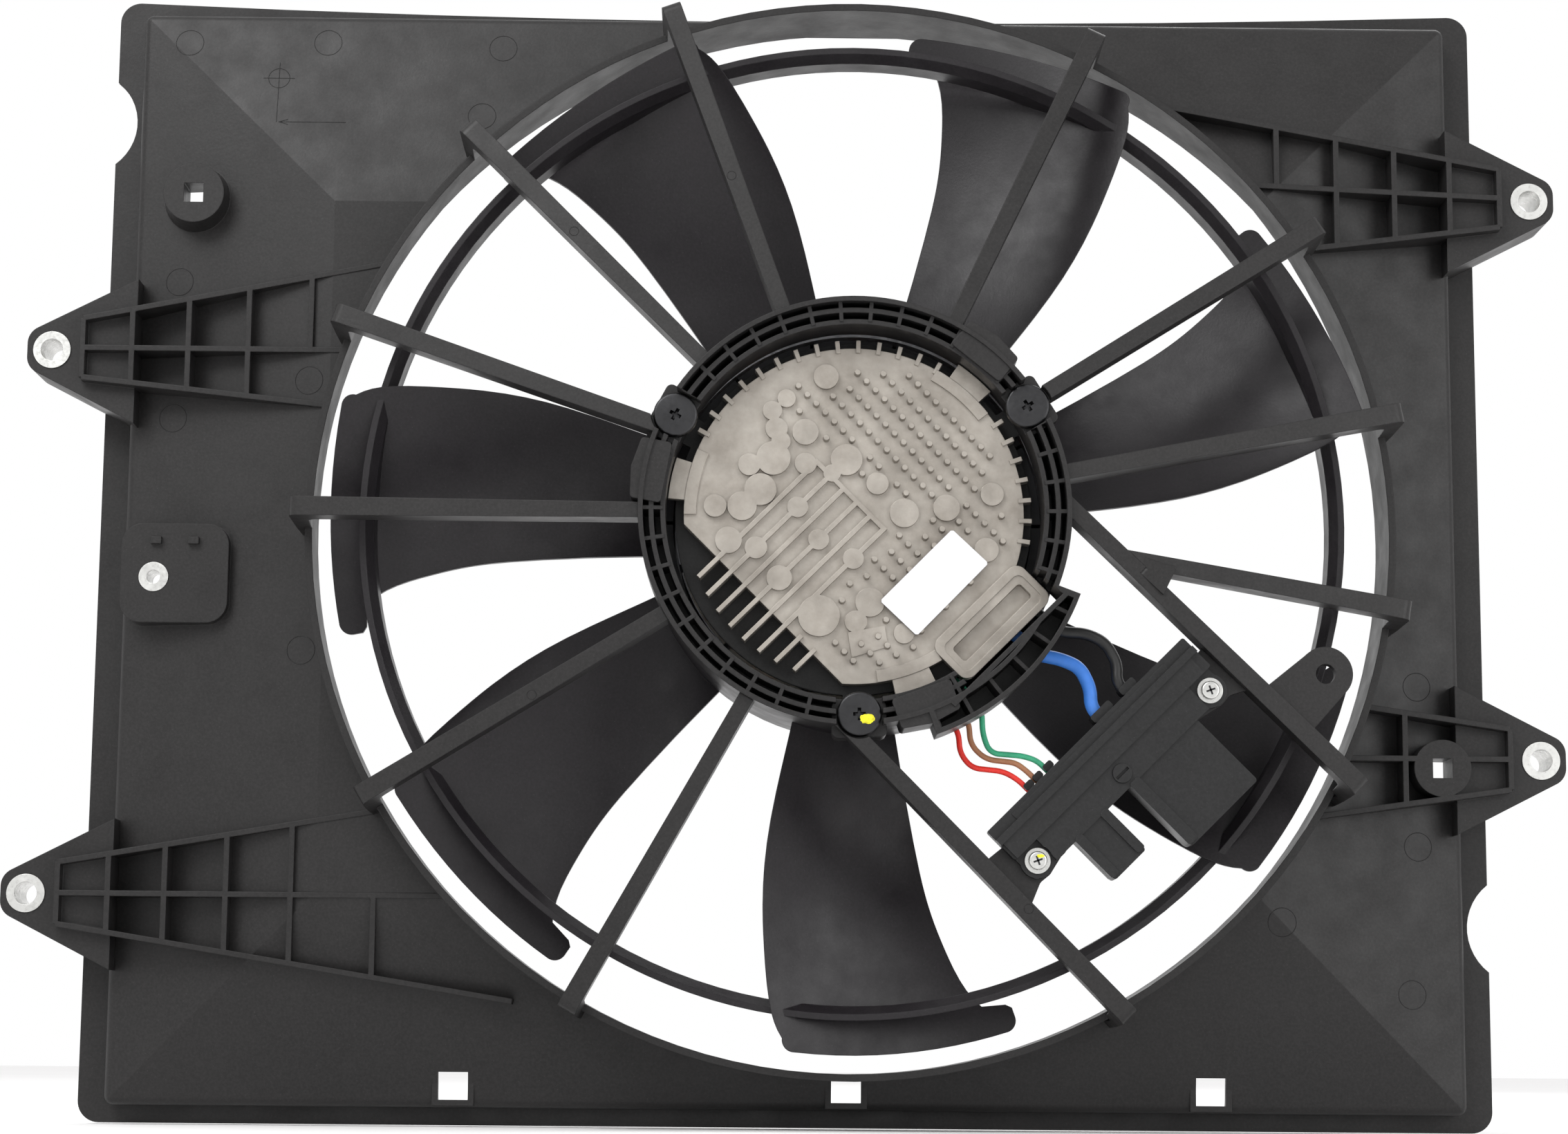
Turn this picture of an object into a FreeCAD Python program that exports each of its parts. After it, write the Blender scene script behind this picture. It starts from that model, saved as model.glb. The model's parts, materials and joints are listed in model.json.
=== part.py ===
import FreeCAD, Part
import math
import os
import Sketcher

# Radiator cooling fan: a moulded shroud that carries an electric motor and a seven-bladed fan.
# X runs to the right seen from the motor side, Z up, and Y away from the motor to the radiator.
# The origin lies on the fan's axis, in the plane of the shroud's rim, and a height above that
# plane, towards the motor, is measured along -Y.

SIZES = {
    # shroud panel: how far it reaches past the barrel's bore, and how it rises to the barrel
    "panel_left_margin": 84.7,
    "panel_right_margin": 35.2,
    "panel_top_margin": 6.2,
    "panel_bottom_margin": 15.2,
    "panel_edge_height": 16.0,
    "panel_slope": 0.2,
    "panel_hip_run": 88.0,
    "panel_edge_round": 4.0,
    "shroud_wall": 2.5,
    # flange that lies against the radiator
    "flange_thickness": 3.0,
    "flange_side_width": 13.0,
    "flange_top_width": 3.5,
    "flange_bottom_width": 7.5,
    "flange_top_bow": 5.5,
    "flange_round": 9.0,
    "notch_round": 23.5,
    "notch_depth": 9.0,
    "left_notch_height": 185.6,
    "right_notch_height": -162.0,
    # barrel round the fan
    "barrel_radius": 225.3,
    "barrel_wall": 3.0,
    "barrel_height": 50.0,
    # clip windows along the bottom edge
    "window_width": 12.5,
    "window_height": 11.5,
    "window_edge_gap": 3.2,
    "window_left_x": -164.0,
    "window_middle_x": 0.0,
    "window_right_x": 152.5,
    "window_frame_wall": 2.5,
    "window_frame_rise": 2.0,
    # bosses with a square hole, and the pad with a threaded insert
    "boss_height": 34.0,
    "left_boss_inset": 27.3,
    "left_boss_drop": 85.1,
    "left_boss_top_radius": 13.0,
    "left_boss_base_radius": 16.5,
    "right_boss_gap": 42.7,
    "right_boss_drop": 4.0,
    "right_boss_radius": 12.0,
    "square_hole": 8.3,
    "pad_height": 30.0,
    "pad_inset": 1.5,
    "pad_width": 45.5,
    "pad_top": 3.0,
    "pad_length": 42.3,
    "pad_round": 9.0,
    "insert_inset": 14.1,
    "insert_drop": 22.9,
    "insert_radius": 6.25,
    "insert_bore_radius": 2.9,
    "insert_length": 14.0,
    # mounting arms with their ears and steel bushes
    "arm_height": 34.0,
    "rib_thickness": 2.3,
    "ear_height": 28.0,
    "ear_plate": 5.0,
    "ear_skirt": 2.5,
    "ear_nose_radius": 10.6,
    "ear_reach": 23.0,
    "ear_half_length": 28.5,
    "bush_radius": 8.0,
    "bush_bore_radius": 4.75,
    "bush_base": 5.0,
    "bush_proud": 0.6,
    # struts from the barrel to the motor ring
    "strut_elbow_rise": 32.6,
    "strut_hub_rise": 17.4,
    "strut_hub_depth": 14.0,
    "strut_elbow_depth": 10.0,
    "strut_hub_width": 6.3,
    "strut_elbow_width": 8.0,
    "strut_leg": 7.0,
    "strut_standoff": 2.7,
    "strut_elbow_round": 4.0,
    "strut_web": 13.0,
    # harness tab on a strut
    "tab_reach": 23.5,
    "tab_inset": 45.1,
    "tab_radius": 11.0,
    "tab_hole_radius": 4.0,
    "tab_thickness": 5.0,
    # motor ring
    "ring_outer_radius": 87.5,
    "ring_width": 11.0,
    "ring_middle_inset": 5.3,
    "ring_rise": 3.0,
    "ring_depth": 23.0,
    "ring_floor": 2.5,
    "ring_wall": 2.0,
    "ring_rib": 1.6,
    "ring_rib_drop": 2.5,
    "ring_bulge": 9.3,
    "port_pocket_gap": 4.5,
    "screw_inset": 4.9,
    "screw_pad_drop": 9.0,
    "screw_pad_radius": 11.0,
    "tab_pad_half": 12.5,
    "tab_pad_reach": 4.5,
    # fan
    "fan_tip_gap": 7.5,
    "fan_hub_gap": 1.0,
    "fan_hub_wall": 2.5,
    "fan_hub_depth": 46.0,
    "fan_hub_rim_gap": 3.0,
    "fan_hub_round": 7.0,
    "blade_root_thickness": 3.4,
    "blade_tip_thickness": 2.2,
    "blade_camber": 0.045,
    "blade_corner_round": 5.0,
    "blade_gap": 5.1,
    "blade_root_drop": 36.0,
    "blade_tip_drop": 26.5,
    "mid_ring_inset": 19.8,
    "mid_ring_wall": 1.8,
    "mid_ring_flare": 5.8,
    "mid_ring_drop": 2.0,
    "mid_ring_depth": 15.5,
    "fan_screw_circle": 30.0,
    "fan_screw_radius": 2.5,
    "fan_screw_head": 5.0,
    # rotor
    "cup_gap": 6.5,
    "cup_wall": 2.0,
    "cup_length": 40.0,
    "magnet_thickness": 3.8,
    "magnet_length": 26.0,
    "magnet_gap": 7.5,
    "air_gap": 0.8,
    "shaft_radius": 6.0,
    "shaft_length": 50.0,
    # bearings
    "bearing_radius": 16.0,
    "bearing_width": 10.0,
    "race_share": 0.3,
    "ball_share": 0.275,
    "ball_clearance": 0.25,
    "front_bearing_gap": 10.0,
    "rear_bearing_drop": 14.0,
    "retaining_ring_width": 2.5,
    # stator
    "stator_gap": 12.0,
    "stator_stack": 22.0,
    "tube_wall": 4.0,
    "yoke_depth": 14.0,
    "tooth_width": 8.0,
    "tooth_tip": 3.0,
    "insulator_thickness": 1.0,
    "coil_thickness": 2.6,
    "coil_overhang": 3.0,
    # motor base, controller and cover
    "base_drop": 5.0,
    "base_plate_thickness": 3.0,
    "base_gap": 3.5,
    "board_inset": 7.3,
    "board_thickness": 1.6,
    "board_standoff": 2.0,
    "cover_inset": 3.7,
    "cover_rise": 8.0,
    "cover_chord": 17.3,
    "cover_wall": 2.5,
    "seal_thickness": 1.0,
    "seal_width": 3.0,
    "fin_rise": 3.0,
    "fin_thickness": 1.8,
    "fin_reach": 3.2,
    "fin_pitch": 7.75,
    "pin_radius": 1.45,
    "pin_rise": 3.6,
    "pin_pitch": 5.2,
    "island_rise": 2.0,
    "port_rise": 2.5,
    "port_wall": 5.5,
    "port_depth": 5.0,
    "port_clearance": 2.0,
    "port_depth_across": 21.0,
    # motor screws
    "screw_head_radius": 9.0,
    "screw_head_height": 4.0,
    "screw_shank_radius": 2.5,
    "screw_length": 14.0,
    # connector block between two struts, measured outwards from the motor ring
    "connector_gap": 41.6,
    "connector_length": 112.0,
    "connector_width": 27.6,
    "connector_base": 76.0,
    "connector_top": 91.0,
    "connector_wall": 2.0,
    "bracket_top": 84.0,
    "bracket_thickness": 4.0,
    "power_shell_reach": 34.0,
    "power_shell_width": 38.0,
    "signal_shell_reach": 22.0,
    "signal_shell_width": 17.5,
    "connector_screw_head": 5.2,
    "connector_screw_shank": 2.0,
    "plug_radius": 3.9,
    # leads between the motor and the connector
    "lead_height": 76.2,
    "lead_entry_height": 82.0,
    "power_lead_radius": 2.75,
    "ground_lead_radius": 2.4,
    "signal_lead_radius": 1.15,
    "grommet_depth": 4.5,
}

# Mounting arms: how far the bush stands outside the flange and its height across the fan, the
# side of the axis that it is on, the slopes of the two side ribs, and the cross ribs' places.
ARMS = {
    "upper_left": {"bush": (18.7, 78.0), "side": -1, "slopes": (0.196, -0.107), "lean": 0.0,
                   "ribs": (35.0, 59.0, 84.5), "half_ribs": (111.0,)},
    "lower_left": {"bush": (20.0, -153.5), "side": -1, "slopes": (0.17, -0.16), "lean": 0.0,
                   "ribs": (35.0, 58.5, 84.0, 111.0), "half_ribs": (-145.5,)},
    "upper_right": {"bush": (19.5, 150.0), "side": 1, "slopes": (0.183, -0.127), "lean": 0.04,
                    "ribs": (35.5, 59.3, 84.3), "half_ribs": (110.0,)},
    "lower_right": {"bush": (18.4, -92.4), "side": 1, "slopes": (0.146, -0.145), "lean": 0.0,
                    "ribs": (58.3,), "half_ribs": ()},
}
ARM_ROOT = 14.0
ARM_HALF_WIDTH = 12.8
ARM_LENGTH = 190.0
EAR_NOSE_SHARE = 0.72

# Struts, counted from the top leftwards: the elbow's angle and how far it stands outside the
# barrel's bore, then the inner end's angle and how far it stands outside the motor ring, and how
# far down its own slope the inner end starts.
STRUTS = (
    (109.7, 5.3, 109.8, 0.0, 0.0),
    (134.6, 5.3, 135.2, 0.0, 0.0),
    (158.7, 5.3, 156.8, 0.0, 0.0),
    (179.4, 5.3, 180.6, 0.0, 0.0),
    (210.2, 5.3, 209.2, 0.0, 0.0),
    (240.4, 5.3, 240.6, 0.0, 0.0),
    (299.0, 5.3, 266.1, 0.0, 0.0),
    (332.2, 7.7, 363.3, 0.0, 0.0),
    (350.9, 5.3, 350.7, 25.7, 0.2),
    (11.5, 5.3, 10.8, 0.0, 0.0),
    (32.9, 5.3, 32.4, 0.0, 0.0),
    (64.0, 5.3, 62.4, 0.0, 0.0),
)

# Where each blade's rear tip corner stands, and how a blade's two edges sweep back from that
# corner: the share of the way from the hub to the tip, rear edge and front edge in degrees.
BLADE_ANGLES = (11.0, 56.2, 107.1, 164.9, 209.3, 261.6, 317.5)
BLADE_SWEEP = (
    (0.0, -8.0, 21.4),
    (0.195, -7.1, 20.5),
    (0.387, -6.1, 20.2),
    (0.573, -4.4, 20.5),
    (0.721, -2.7, 21.5),
    (0.855, -1.1, 23.0),
    (0.902, -0.4, 24.0),
    (1.0, 1.2, 27.0),
)
BLADE_STATIONS = (0, 2, 4, 7)
BLADE_STEPS = 5
SCREW_ANGLES = (32.0, 152.0, 271.6)
TAB_ANGLES = (51.3, 169.6, 290.1)
RING_RIBS = 42
TEETH = 12
MAGNETS = 14
BALLS = 7
EDGE_FIN_ANGLES = (88.8, 6.95, -14, 9)
LUG_ANGLES = (49.4, 168.9, 289.7)
LUG_HALF_ANGLE = 6.5
BAND_HALF_ANGLE = 11.5

doc = FreeCAD.newDocument("radiator_fan")
sheet = doc.addObject("Spreadsheet::Sheet", "Sizes")
for row, (name, value) in enumerate(SIZES.items(), start=1):
    sheet.set("A%d" % row, name)
    sheet.set("B%d" % row, str(value))
    sheet.setAlias("B%d" % row, name)
doc.recompute()


class Size(float):
    """A length that also carries the spreadsheet expression that gives it."""

    def __new__(cls, value, text):
        size = float.__new__(cls, value)
        size.text = text
        return size

    def __add__(self, other):
        return Size(float(self) + float(other), "(%s + %s)" % (self.text, words(other)))

    def __radd__(self, other):
        return Size(float(other) + float(self), "(%s + %s)" % (words(other), self.text))

    def __sub__(self, other):
        return Size(float(self) - float(other), "(%s - %s)" % (self.text, words(other)))

    def __rsub__(self, other):
        return Size(float(other) - float(self), "(%s - %s)" % (words(other), self.text))

    def __mul__(self, other):
        return Size(float(self) * float(other), "(%s * %s)" % (self.text, words(other)))

    def __rmul__(self, other):
        return Size(float(other) * float(self), "(%s * %s)" % (words(other), self.text))

    def __truediv__(self, other):
        return Size(float(self) / float(other), "(%s / %s)" % (self.text, words(other)))

    def __neg__(self):
        return Size(-float(self), "(-%s)" % self.text)


def words(number):
    """The expression of a size, or a plain number as text."""
    return number.text if isinstance(number, Size) else repr(float(number))


def size(name):
    """A driving dimension, read back from the spreadsheet."""
    return Size(float(sheet.get(name)), "Sizes.%s" % name)


NODES = []
UP = FreeCAD.Vector(0, -1, 0)
AXIS = FreeCAD.Vector(0, 1, 0)
CENTRE = FreeCAD.Vector(0, 0, 0)
UPRIGHT = FreeCAD.Rotation(FreeCAD.Vector(1, 0, 0), 90)


def node(thing, label):
    """Name a finished sub-part, and keep it for the export."""
    thing.Label = label
    NODES.append(thing)
    return thing


def at(x, z, height):
    """A point from its place across the fan and its height above the rim plane."""
    return FreeCAD.Vector(x, -height, z)


def polar(radius, angle, height):
    """A point from its radius and its angle in degrees, anticlockwise seen from the motor."""
    turn = math.radians(angle)
    return at(radius * math.cos(turn), radius * math.sin(turn), height)


def bind(thing, **sizes):
    """Set an object's properties, and tie those that come from a size to the sheet."""
    for name, value in sizes.items():
        path = name.replace("__", ".")
        if isinstance(value, Size):
            thing.setExpression(path, value.text)
        elif "." not in path:
            setattr(thing, path, value)
    return thing


def place(thing, x, z, height):
    """Stand an object upright at a place that follows the sheet."""
    thing.Placement = FreeCAD.Placement(at(x, z, height), UPRIGHT)
    return bind(thing, Placement__Base__x=x, Placement__Base__y=-height, Placement__Base__z=z)


def cylinder(name, radius, length, x, z, height):
    """A round bar that stands on a plane parallel to the rim."""
    return place(bind(doc.addObject("Part::Cylinder", name), Radius=radius, Height=length), x, z, height)


def cone(name, base_radius, top_radius, length, x, z, height):
    """A tapered round boss."""
    thing = doc.addObject("Part::Cone", name)
    bind(thing, Radius1=base_radius, Radius2=top_radius, Height=length)
    return place(thing, x, z, height)


def block(name, width, breadth, length, x, z, height):
    """A box, from its lowest corner: width along X, breadth along Z, length along the axis."""
    thing = doc.addObject("Part::Box", name)
    bind(thing, Length=width, Width=breadth, Height=length)
    return place(thing, x, z, height)


def fuse(name, things):
    """One solid from several that overlap or touch."""
    thing = doc.addObject("Part::MultiFuse", name)
    thing.Shapes = things
    return thing


def cut(name, base, tools):
    """A solid with others taken out of it."""
    tool = tools[0]
    if len(tools) > 1:
        tool = doc.addObject("Part::Compound", name + "_tools")
        tool.Links = tools
    thing = doc.addObject("Part::Cut", name)
    thing.Base = base
    thing.Tool = tool
    return thing


def feature(name, shape):
    """A sub-part whose shape is worked out below from the sheet's sizes."""
    thing = doc.addObject("Part::Feature", name)
    thing.Shape = shape
    return thing


def sketch_on(body, role, name):
    """A sketch on one of the body's own origin planes."""
    sketch = body.newObject("Sketcher::SketchObject", name)
    planes = [plane for plane in body.Origin.OriginFeatures if plane.Role == role]
    sketch.AttachmentSupport = [(planes[0], "")]
    sketch.MapMode = "FlatFace"
    return sketch


def draw(sketch, outline):
    """A closed outline of straight sides, with every corner dimensioned from the origin."""
    corners = [FreeCAD.Vector(float(across), float(along), 0) for across, along in outline]
    count = len(corners)
    for index, corner in enumerate(corners):
        sketch.addGeometry(Part.LineSegment(corner, corners[(index + 1) % count]), False)
    for index in range(count):
        sketch.addConstraint(Sketcher.Constraint("Coincident", index, 2, (index + 1) % count, 1))
    for index, corner in enumerate(outline):
        for kind, axis, value in (("DistanceX", -2, corner[0]), ("DistanceY", -1, corner[1])):
            if float(value) == 0.0:
                sketch.addConstraint(Sketcher.Constraint("PointOnObject", index, 1, axis))
                continue
            number = sketch.addConstraint(Sketcher.Constraint(kind, -1, 1, index, 1, float(value)))
            if isinstance(value, Size):
                sketch.setExpression("Constraints[%d]" % number, value.text)


def turned(name, outline, x=0.0, z=0.0, height=0.0):
    """A piece turned about an axis parallel to the fan's, from (radius, height) corners."""
    body = doc.addObject("PartDesign::Body", name)
    sketch = sketch_on(body, "XY_Plane", name + "_outline")
    draw(sketch, [(radius, -rise) for radius, rise in outline])
    turn = body.newObject("PartDesign::Revolution", name + "_turn")
    turn.Profile = sketch
    turn.ReferenceAxis = (sketch, ["V_Axis"])
    turn.Angle = 360
    body.Tip = turn
    body.Placement = FreeCAD.Placement(at(x, z, height), FreeCAD.Rotation())
    bind(body, Placement__Base__x=x, Placement__Base__y=-height, Placement__Base__z=z)
    return body


def ring(name, inner, outer, low, high):
    """A plain ring about the fan's axis."""
    return turned(name, [(inner, low), (outer, low), (outer, high), (inner, high)])


def rounded(points, rounds):
    """A closed wire through the points, each corner rounded by its own radius."""
    count = len(points)
    edges = []
    last = None
    first = None
    for index in range(count):
        before, corner, after = points[index - 1], points[index], points[(index + 1) % count]
        back = (before - corner).normalize()
        ahead = (after - corner).normalize()
        half = back.getAngle(ahead) / 2
        radius = rounds[index] if isinstance(rounds, (list, tuple)) else rounds
        if radius > 0 and half < math.pi / 2 - 0.01:
            reach = radius / math.tan(half)
            middle = (back + ahead).normalize() * (radius / math.sin(half) - radius)
            start, end = corner + back * reach, corner + ahead * reach
            bend = Part.Arc(start, corner + middle, end).toShape()
        else:
            start, end, bend = corner, corner, None
        if last is None:
            first = start
        else:
            edges.append(Part.LineSegment(last, start).toShape())
        if bend is not None:
            edges.append(bend)
        last = end
    edges.append(Part.LineSegment(last, first).toShape())
    return Part.Wire(edges)


def plate(points, rounds, low, high):
    """A flat piece from its outline across the fan, between two heights."""
    wire = rounded([at(x, z, low) for x, z in points], rounds)
    return Part.Face(wire).extrude(UP * (float(high) - float(low)))


def rib(start, end, thickness, low, high):
    """A thin wall between two places across the fan."""
    along = FreeCAD.Vector(end[0] - start[0], end[1] - start[1], 0)
    side = FreeCAD.Vector(-along.y, along.x, 0).normalize() * (float(thickness) / 2)
    corners = [(start[0] + side.x, start[1] + side.y), (end[0] + side.x, end[1] + side.y),
               (end[0] - side.x, end[1] - side.y), (start[0] - side.x, start[1] - side.y)]
    return plate(corners, 0, low, high)


def bar(radius, low, high, x=0.0, z=0.0):
    """A round bar as a bare shape."""
    return Part.makeCylinder(radius, float(high) - float(low), at(x, z, low), UP)


def turn_about_axis(shape, angle):
    """A copy turned about the fan's axis, anticlockwise seen from the motor."""
    copy = shape.copy()
    copy.rotate(CENTRE, UP, angle)
    return copy


# Shroud panel: four slopes that rise from the edge and meet in diagonal creases

barrel_radius = size("barrel_radius")
left, right = barrel_radius + size("panel_left_margin"), barrel_radius + size("panel_right_margin")
top, bottom = barrel_radius + size("panel_top_margin"), barrel_radius + size("panel_bottom_margin")
wall = size("shroud_wall")
edge_height = size("panel_edge_height")
hip_run = size("panel_hip_run")
hip_height = edge_height + hip_run * size("panel_slope")
flange_thickness = size("flange_thickness")
barrel_outside = barrel_radius + size("barrel_wall")
barrel_height = size("barrel_height")


def panel_solid(name, inset, low, drop):
    """The panel's block, moved in by a wall on every side: side walls below, slopes above."""
    walls = block(name + "_walls", left + right - 2 * inset, top + bottom - 2 * inset,
                  edge_height - drop - low, inset - left, inset - bottom, low)
    roof = doc.addObject("Part::Wedge", name + "_roof")
    bind(roof, Ymin=drop - hip_height, Ymax=drop - edge_height,
         Xmin=hip_run + inset - left, Xmax=right - hip_run - inset,
         Zmin=hip_run + inset - bottom, Zmax=top - hip_run - inset,
         X2min=inset - left, X2max=right - inset, Z2min=inset - bottom, Z2max=top - inset)
    return fuse(name, [walls, roof])


def soften(name, base, radius, low):
    """Round the panel's four corners and the edge where the slopes begin."""
    doc.recompute()
    picked = []
    for number, edge in enumerate(base.Shape.Edges, start=1):
        heights = sorted(-vertex.Point.y for vertex in edge.Vertexes)
        at_edge = abs(heights[0] - low) < 0.01 and abs(heights[-1] - low) < 0.01
        upright = abs(heights[0] - low) > 0.5 and abs(heights[-1] - low) < 0.01
        if at_edge or (upright and heights[0] < low):
            picked.append((number, float(radius), float(radius)))
    thing = doc.addObject("Part::Fillet", name)
    thing.Base = base
    thing.Edges = picked
    return thing


panel_round = size("panel_edge_round")
panel_outside = soften("panel_outside", panel_solid("panel_block", 0 * wall, 0 * wall, 0 * wall),
                       panel_round, float(edge_height))
panel_inside = soften("panel_inside", panel_solid("panel_hollow", wall, -wall, wall),
                      panel_round - wall / 2, float(edge_height - wall))


side_width = size("flange_side_width")
far_left, far_right = -left - side_width, right + side_width


def bush_place(name):
    """Where an arm's bush stands across the fan, outside the flange's edge."""
    beyond, z = ARMS[name]["bush"]
    return (far_right + beyond if ARMS[name]["side"] > 0 else far_left - beyond), z


def flange_shape():
    """The flat rim: straight sides, a bowed top edge, rounded corners and one notch a side."""
    low_edge = -bottom - size("flange_bottom_width")
    high_edge = top + size("flange_top_width") + size("flange_top_bow")
    corners = [(far_left, low_edge), (far_right, low_edge), (far_right, high_edge), (far_left, high_edge)]
    body = plate(corners, float(size("flange_round")), 0, flange_thickness)
    middle = (far_left + far_right) / 2
    bow_low = top + size("flange_top_width")
    reach = far_right - middle - size("flange_round")
    arc = Part.Arc(at(middle - reach, high_edge, 0), at(middle, bow_low, 0), at(middle + reach, high_edge, 0))
    chord = Part.LineSegment(at(middle + reach, high_edge, 0), at(middle - reach, high_edge, 0))
    bow = Part.Face(Part.Wire([arc.toShape(), chord.toShape()])).extrude(UP * float(flange_thickness))
    notch = size("notch_round")
    off = notch - size("notch_depth")
    bites = [bar(notch, 0, flange_thickness, far_left - off, size("left_notch_height")),
             bar(notch, 0, flange_thickness, far_right + off, size("right_notch_height"))]
    return body.cut(Part.makeCompound([bow] + bites))


def windows(grow, low, high):
    """The three clip windows along the bottom edge, or blocks larger by a frame's wall."""
    width, height = size("window_width"), size("window_height")
    base = -bottom + size("window_edge_gap")
    shapes = []
    for place_name in ("window_left_x", "window_middle_x", "window_right_x"):
        x = size(place_name)
        corners = [(x - width / 2 - grow, base - grow), (x + width / 2 + grow, base - grow),
                   (x + width / 2 + grow, base + height + grow), (x - width / 2 - grow, base + height + grow)]
        shapes.append(plate(corners, 0, low, high))
    return Part.makeCompound(shapes)


def square_hole(x, z, low, high):
    """A square hole through a boss."""
    half = size("square_hole") / 2
    return plate([(x - half, z - half), (x + half, z - half), (x + half, z + half), (x - half, z + half)],
                 0, low, high)


boss_height = size("boss_height")
left_boss = (size("left_boss_inset") - left, top - size("left_boss_drop"))
right_boss = (bush_place("lower_right")[0] - size("right_boss_gap"), ARMS["lower_right"]["bush"][1]
              - size("right_boss_drop"))
pad_height = size("pad_height")
flange = feature("flange", flange_shape())
frames = feature("window_frames", windows(float(size("window_frame_wall")), flange_thickness,
                                          edge_height + size("window_frame_rise")))
pad_left, pad_top = size("pad_inset") - left, size("pad_top")
pad_right, pad_low = pad_left + size("pad_width"), pad_top - size("pad_length")
insert_place = (pad_left + size("insert_inset"), pad_top - size("insert_drop"))


def pad_shape():
    """The pad for the threaded insert, with two small stops on its upper part."""
    base = plate([(pad_left, pad_low), (pad_right, pad_low), (pad_right, pad_top), (pad_left, pad_top)],
                 float(size("pad_round")), flange_thickness, pad_height)
    stops = [rib((x, pad_top - 9), (x, pad_top - 6), 4.5, pad_height - 1, pad_height + 2.5)
             for x in (pad_left + 15, pad_left + 30.8)]
    return base.multiFuse(stops)


pad = feature("insert_pad", pad_shape())
barrel_tube = cylinder("barrel_tube", barrel_outside, barrel_height - flange_thickness, 0 * wall, 0 * wall,
                       flange_thickness)
boss = cone("left_boss", size("left_boss_base_radius"), size("left_boss_top_radius"),
            boss_height - flange_thickness, left_boss[0], left_boss[1], flange_thickness)
shroud_block = fuse("shroud_block", [flange, panel_outside, barrel_tube, boss, pad, frames])
insert_seat = cylinder("insert_seat", size("insert_radius"), pad_height, insert_place[0], insert_place[1],
                       pad_height - size("insert_length"))
bore = cylinder("barrel_bore", barrel_radius, barrel_height * 2, 0 * wall, 0 * wall, -barrel_height / 2)
drill = cylinder("insert_drill", size("insert_bore_radius"), pad_height * 2, insert_place[0], insert_place[1],
                 -pad_height / 2)
openings = feature("shroud_openings", Part.makeCompound([
    windows(0, -1, boss_height), square_hole(*left_boss, -1, boss_height + 1),
    square_hole(*right_boss, -1, boss_height + 1)]))
shroud = node(cut("shroud", shroud_block, [panel_inside, bore, insert_seat, drill, openings]), "shroud")
accessory_insert = node(turned("accessory_insert", [
    (size("insert_bore_radius"), pad_height - size("insert_length")),
    (size("insert_radius"), pad_height - size("insert_length")),
    (size("insert_radius"), pad_height + 0.4), (size("insert_bore_radius"), pad_height + 0.4)],
    insert_place[0], insert_place[1]), "accessory_insert")

doc.recompute()
panel_shape = panel_outside.Shape.copy()
barrel_shape = bar(barrel_outside, -1, barrel_height)

# Struts: a bar that rises inwards from an elbow above the barrel's lip, and a leg outside the
# barrel's wall that stands on the panel

strut_elbow_height = barrel_height + size("strut_elbow_rise")
strut_hub_height = strut_elbow_height + size("strut_hub_rise")
ring_outer_radius = size("ring_outer_radius")


def strut_ends(elbow_angle, elbow_gap, inner_angle, inner_gap, share):
    """The two ends of a strut's centreline across the fan."""
    return (polar(float(ring_outer_radius) + inner_gap - 3, inner_angle, 0),
            polar(float(barrel_radius) + elbow_gap, elbow_angle, 0))


def strut_shape(elbow_angle, elbow_gap, inner_angle, inner_gap, share):
    """One strut, from its profile seen from the side and its tapered width seen from above."""
    root, tip = strut_ends(elbow_angle, elbow_gap, inner_angle, inner_gap, share)
    run = tip - root
    length = run.Length
    run.normalize()
    leg = float(size("strut_leg"))
    standoff = float(size("strut_standoff"))
    lip = length - standoff - float(barrel_outside - barrel_radius) + 0.2
    elbow_top = float(strut_elbow_height)
    hub_top = float(strut_hub_height) + (elbow_top - float(strut_hub_height)) * share
    elbow_low = elbow_top - float(size("strut_elbow_depth"))
    soft = float(size("strut_elbow_round"))
    profile = [(0, hub_top), (length, elbow_top), (length + 1, float(barrel_height)),
               (length + 1.2, float(edge_height)), (length - standoff, float(edge_height)),
               (length - standoff, float(barrel_height)), (lip, float(barrel_height)),
               (length - leg, elbow_low), (0, hub_top - float(size("strut_hub_depth")))]
    rounds = [0, soft, 0, 0, 0, 0, 0, soft, 0]
    side = run.cross(UP)
    width = float(size("strut_elbow_width"))
    corners = [root + run * s + UP * h - side * width for s, h in profile]
    slab = Part.Face(rounded(corners, rounds)).extrude(side * (2 * width))
    hub_half, elbow_half = float(size("strut_hub_width")) / 2, width / 2
    plan = [root + side * hub_half, root - side * hub_half, root + run * (length + 3) - side * elbow_half,
            root + run * (length + 3) + side * elbow_half]
    taper = Part.Face(Part.makePolygon(plan + plan[:1])).extrude(UP * (hub_top + 1))
    return slab.common(taper)


ring_top = strut_hub_height + size("ring_rise")
ring_base = ring_top - size("ring_depth")
screw_circle = ring_outer_radius - size("screw_inset")
screw_pad_height = ring_top - size("screw_pad_drop")
ring_shape = bar(ring_outer_radius, 0, ring_top + 1)
head_space = Part.makeCompound([
    turn_about_axis(bar(size("screw_head_radius") + 1, screw_pad_height, ring_top + 1, screw_circle), angle)
    for angle in SCREW_ANGLES])
strut_shapes = []
for strut in STRUTS:
    raw = strut_shape(*strut)
    raw = raw.cut(Part.makeCompound([barrel_shape, panel_shape])).cut(ring_shape).cut(head_space)
    strut_shapes.append(raw)


def largest(shape):
    """The largest solid of a shape, where a cut has left slivers beside it."""
    return max(shape.Solids, key=lambda solid: solid.Volume)


def across(point):
    """A point's two places across the fan."""
    return (point.x, point.z)


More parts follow.
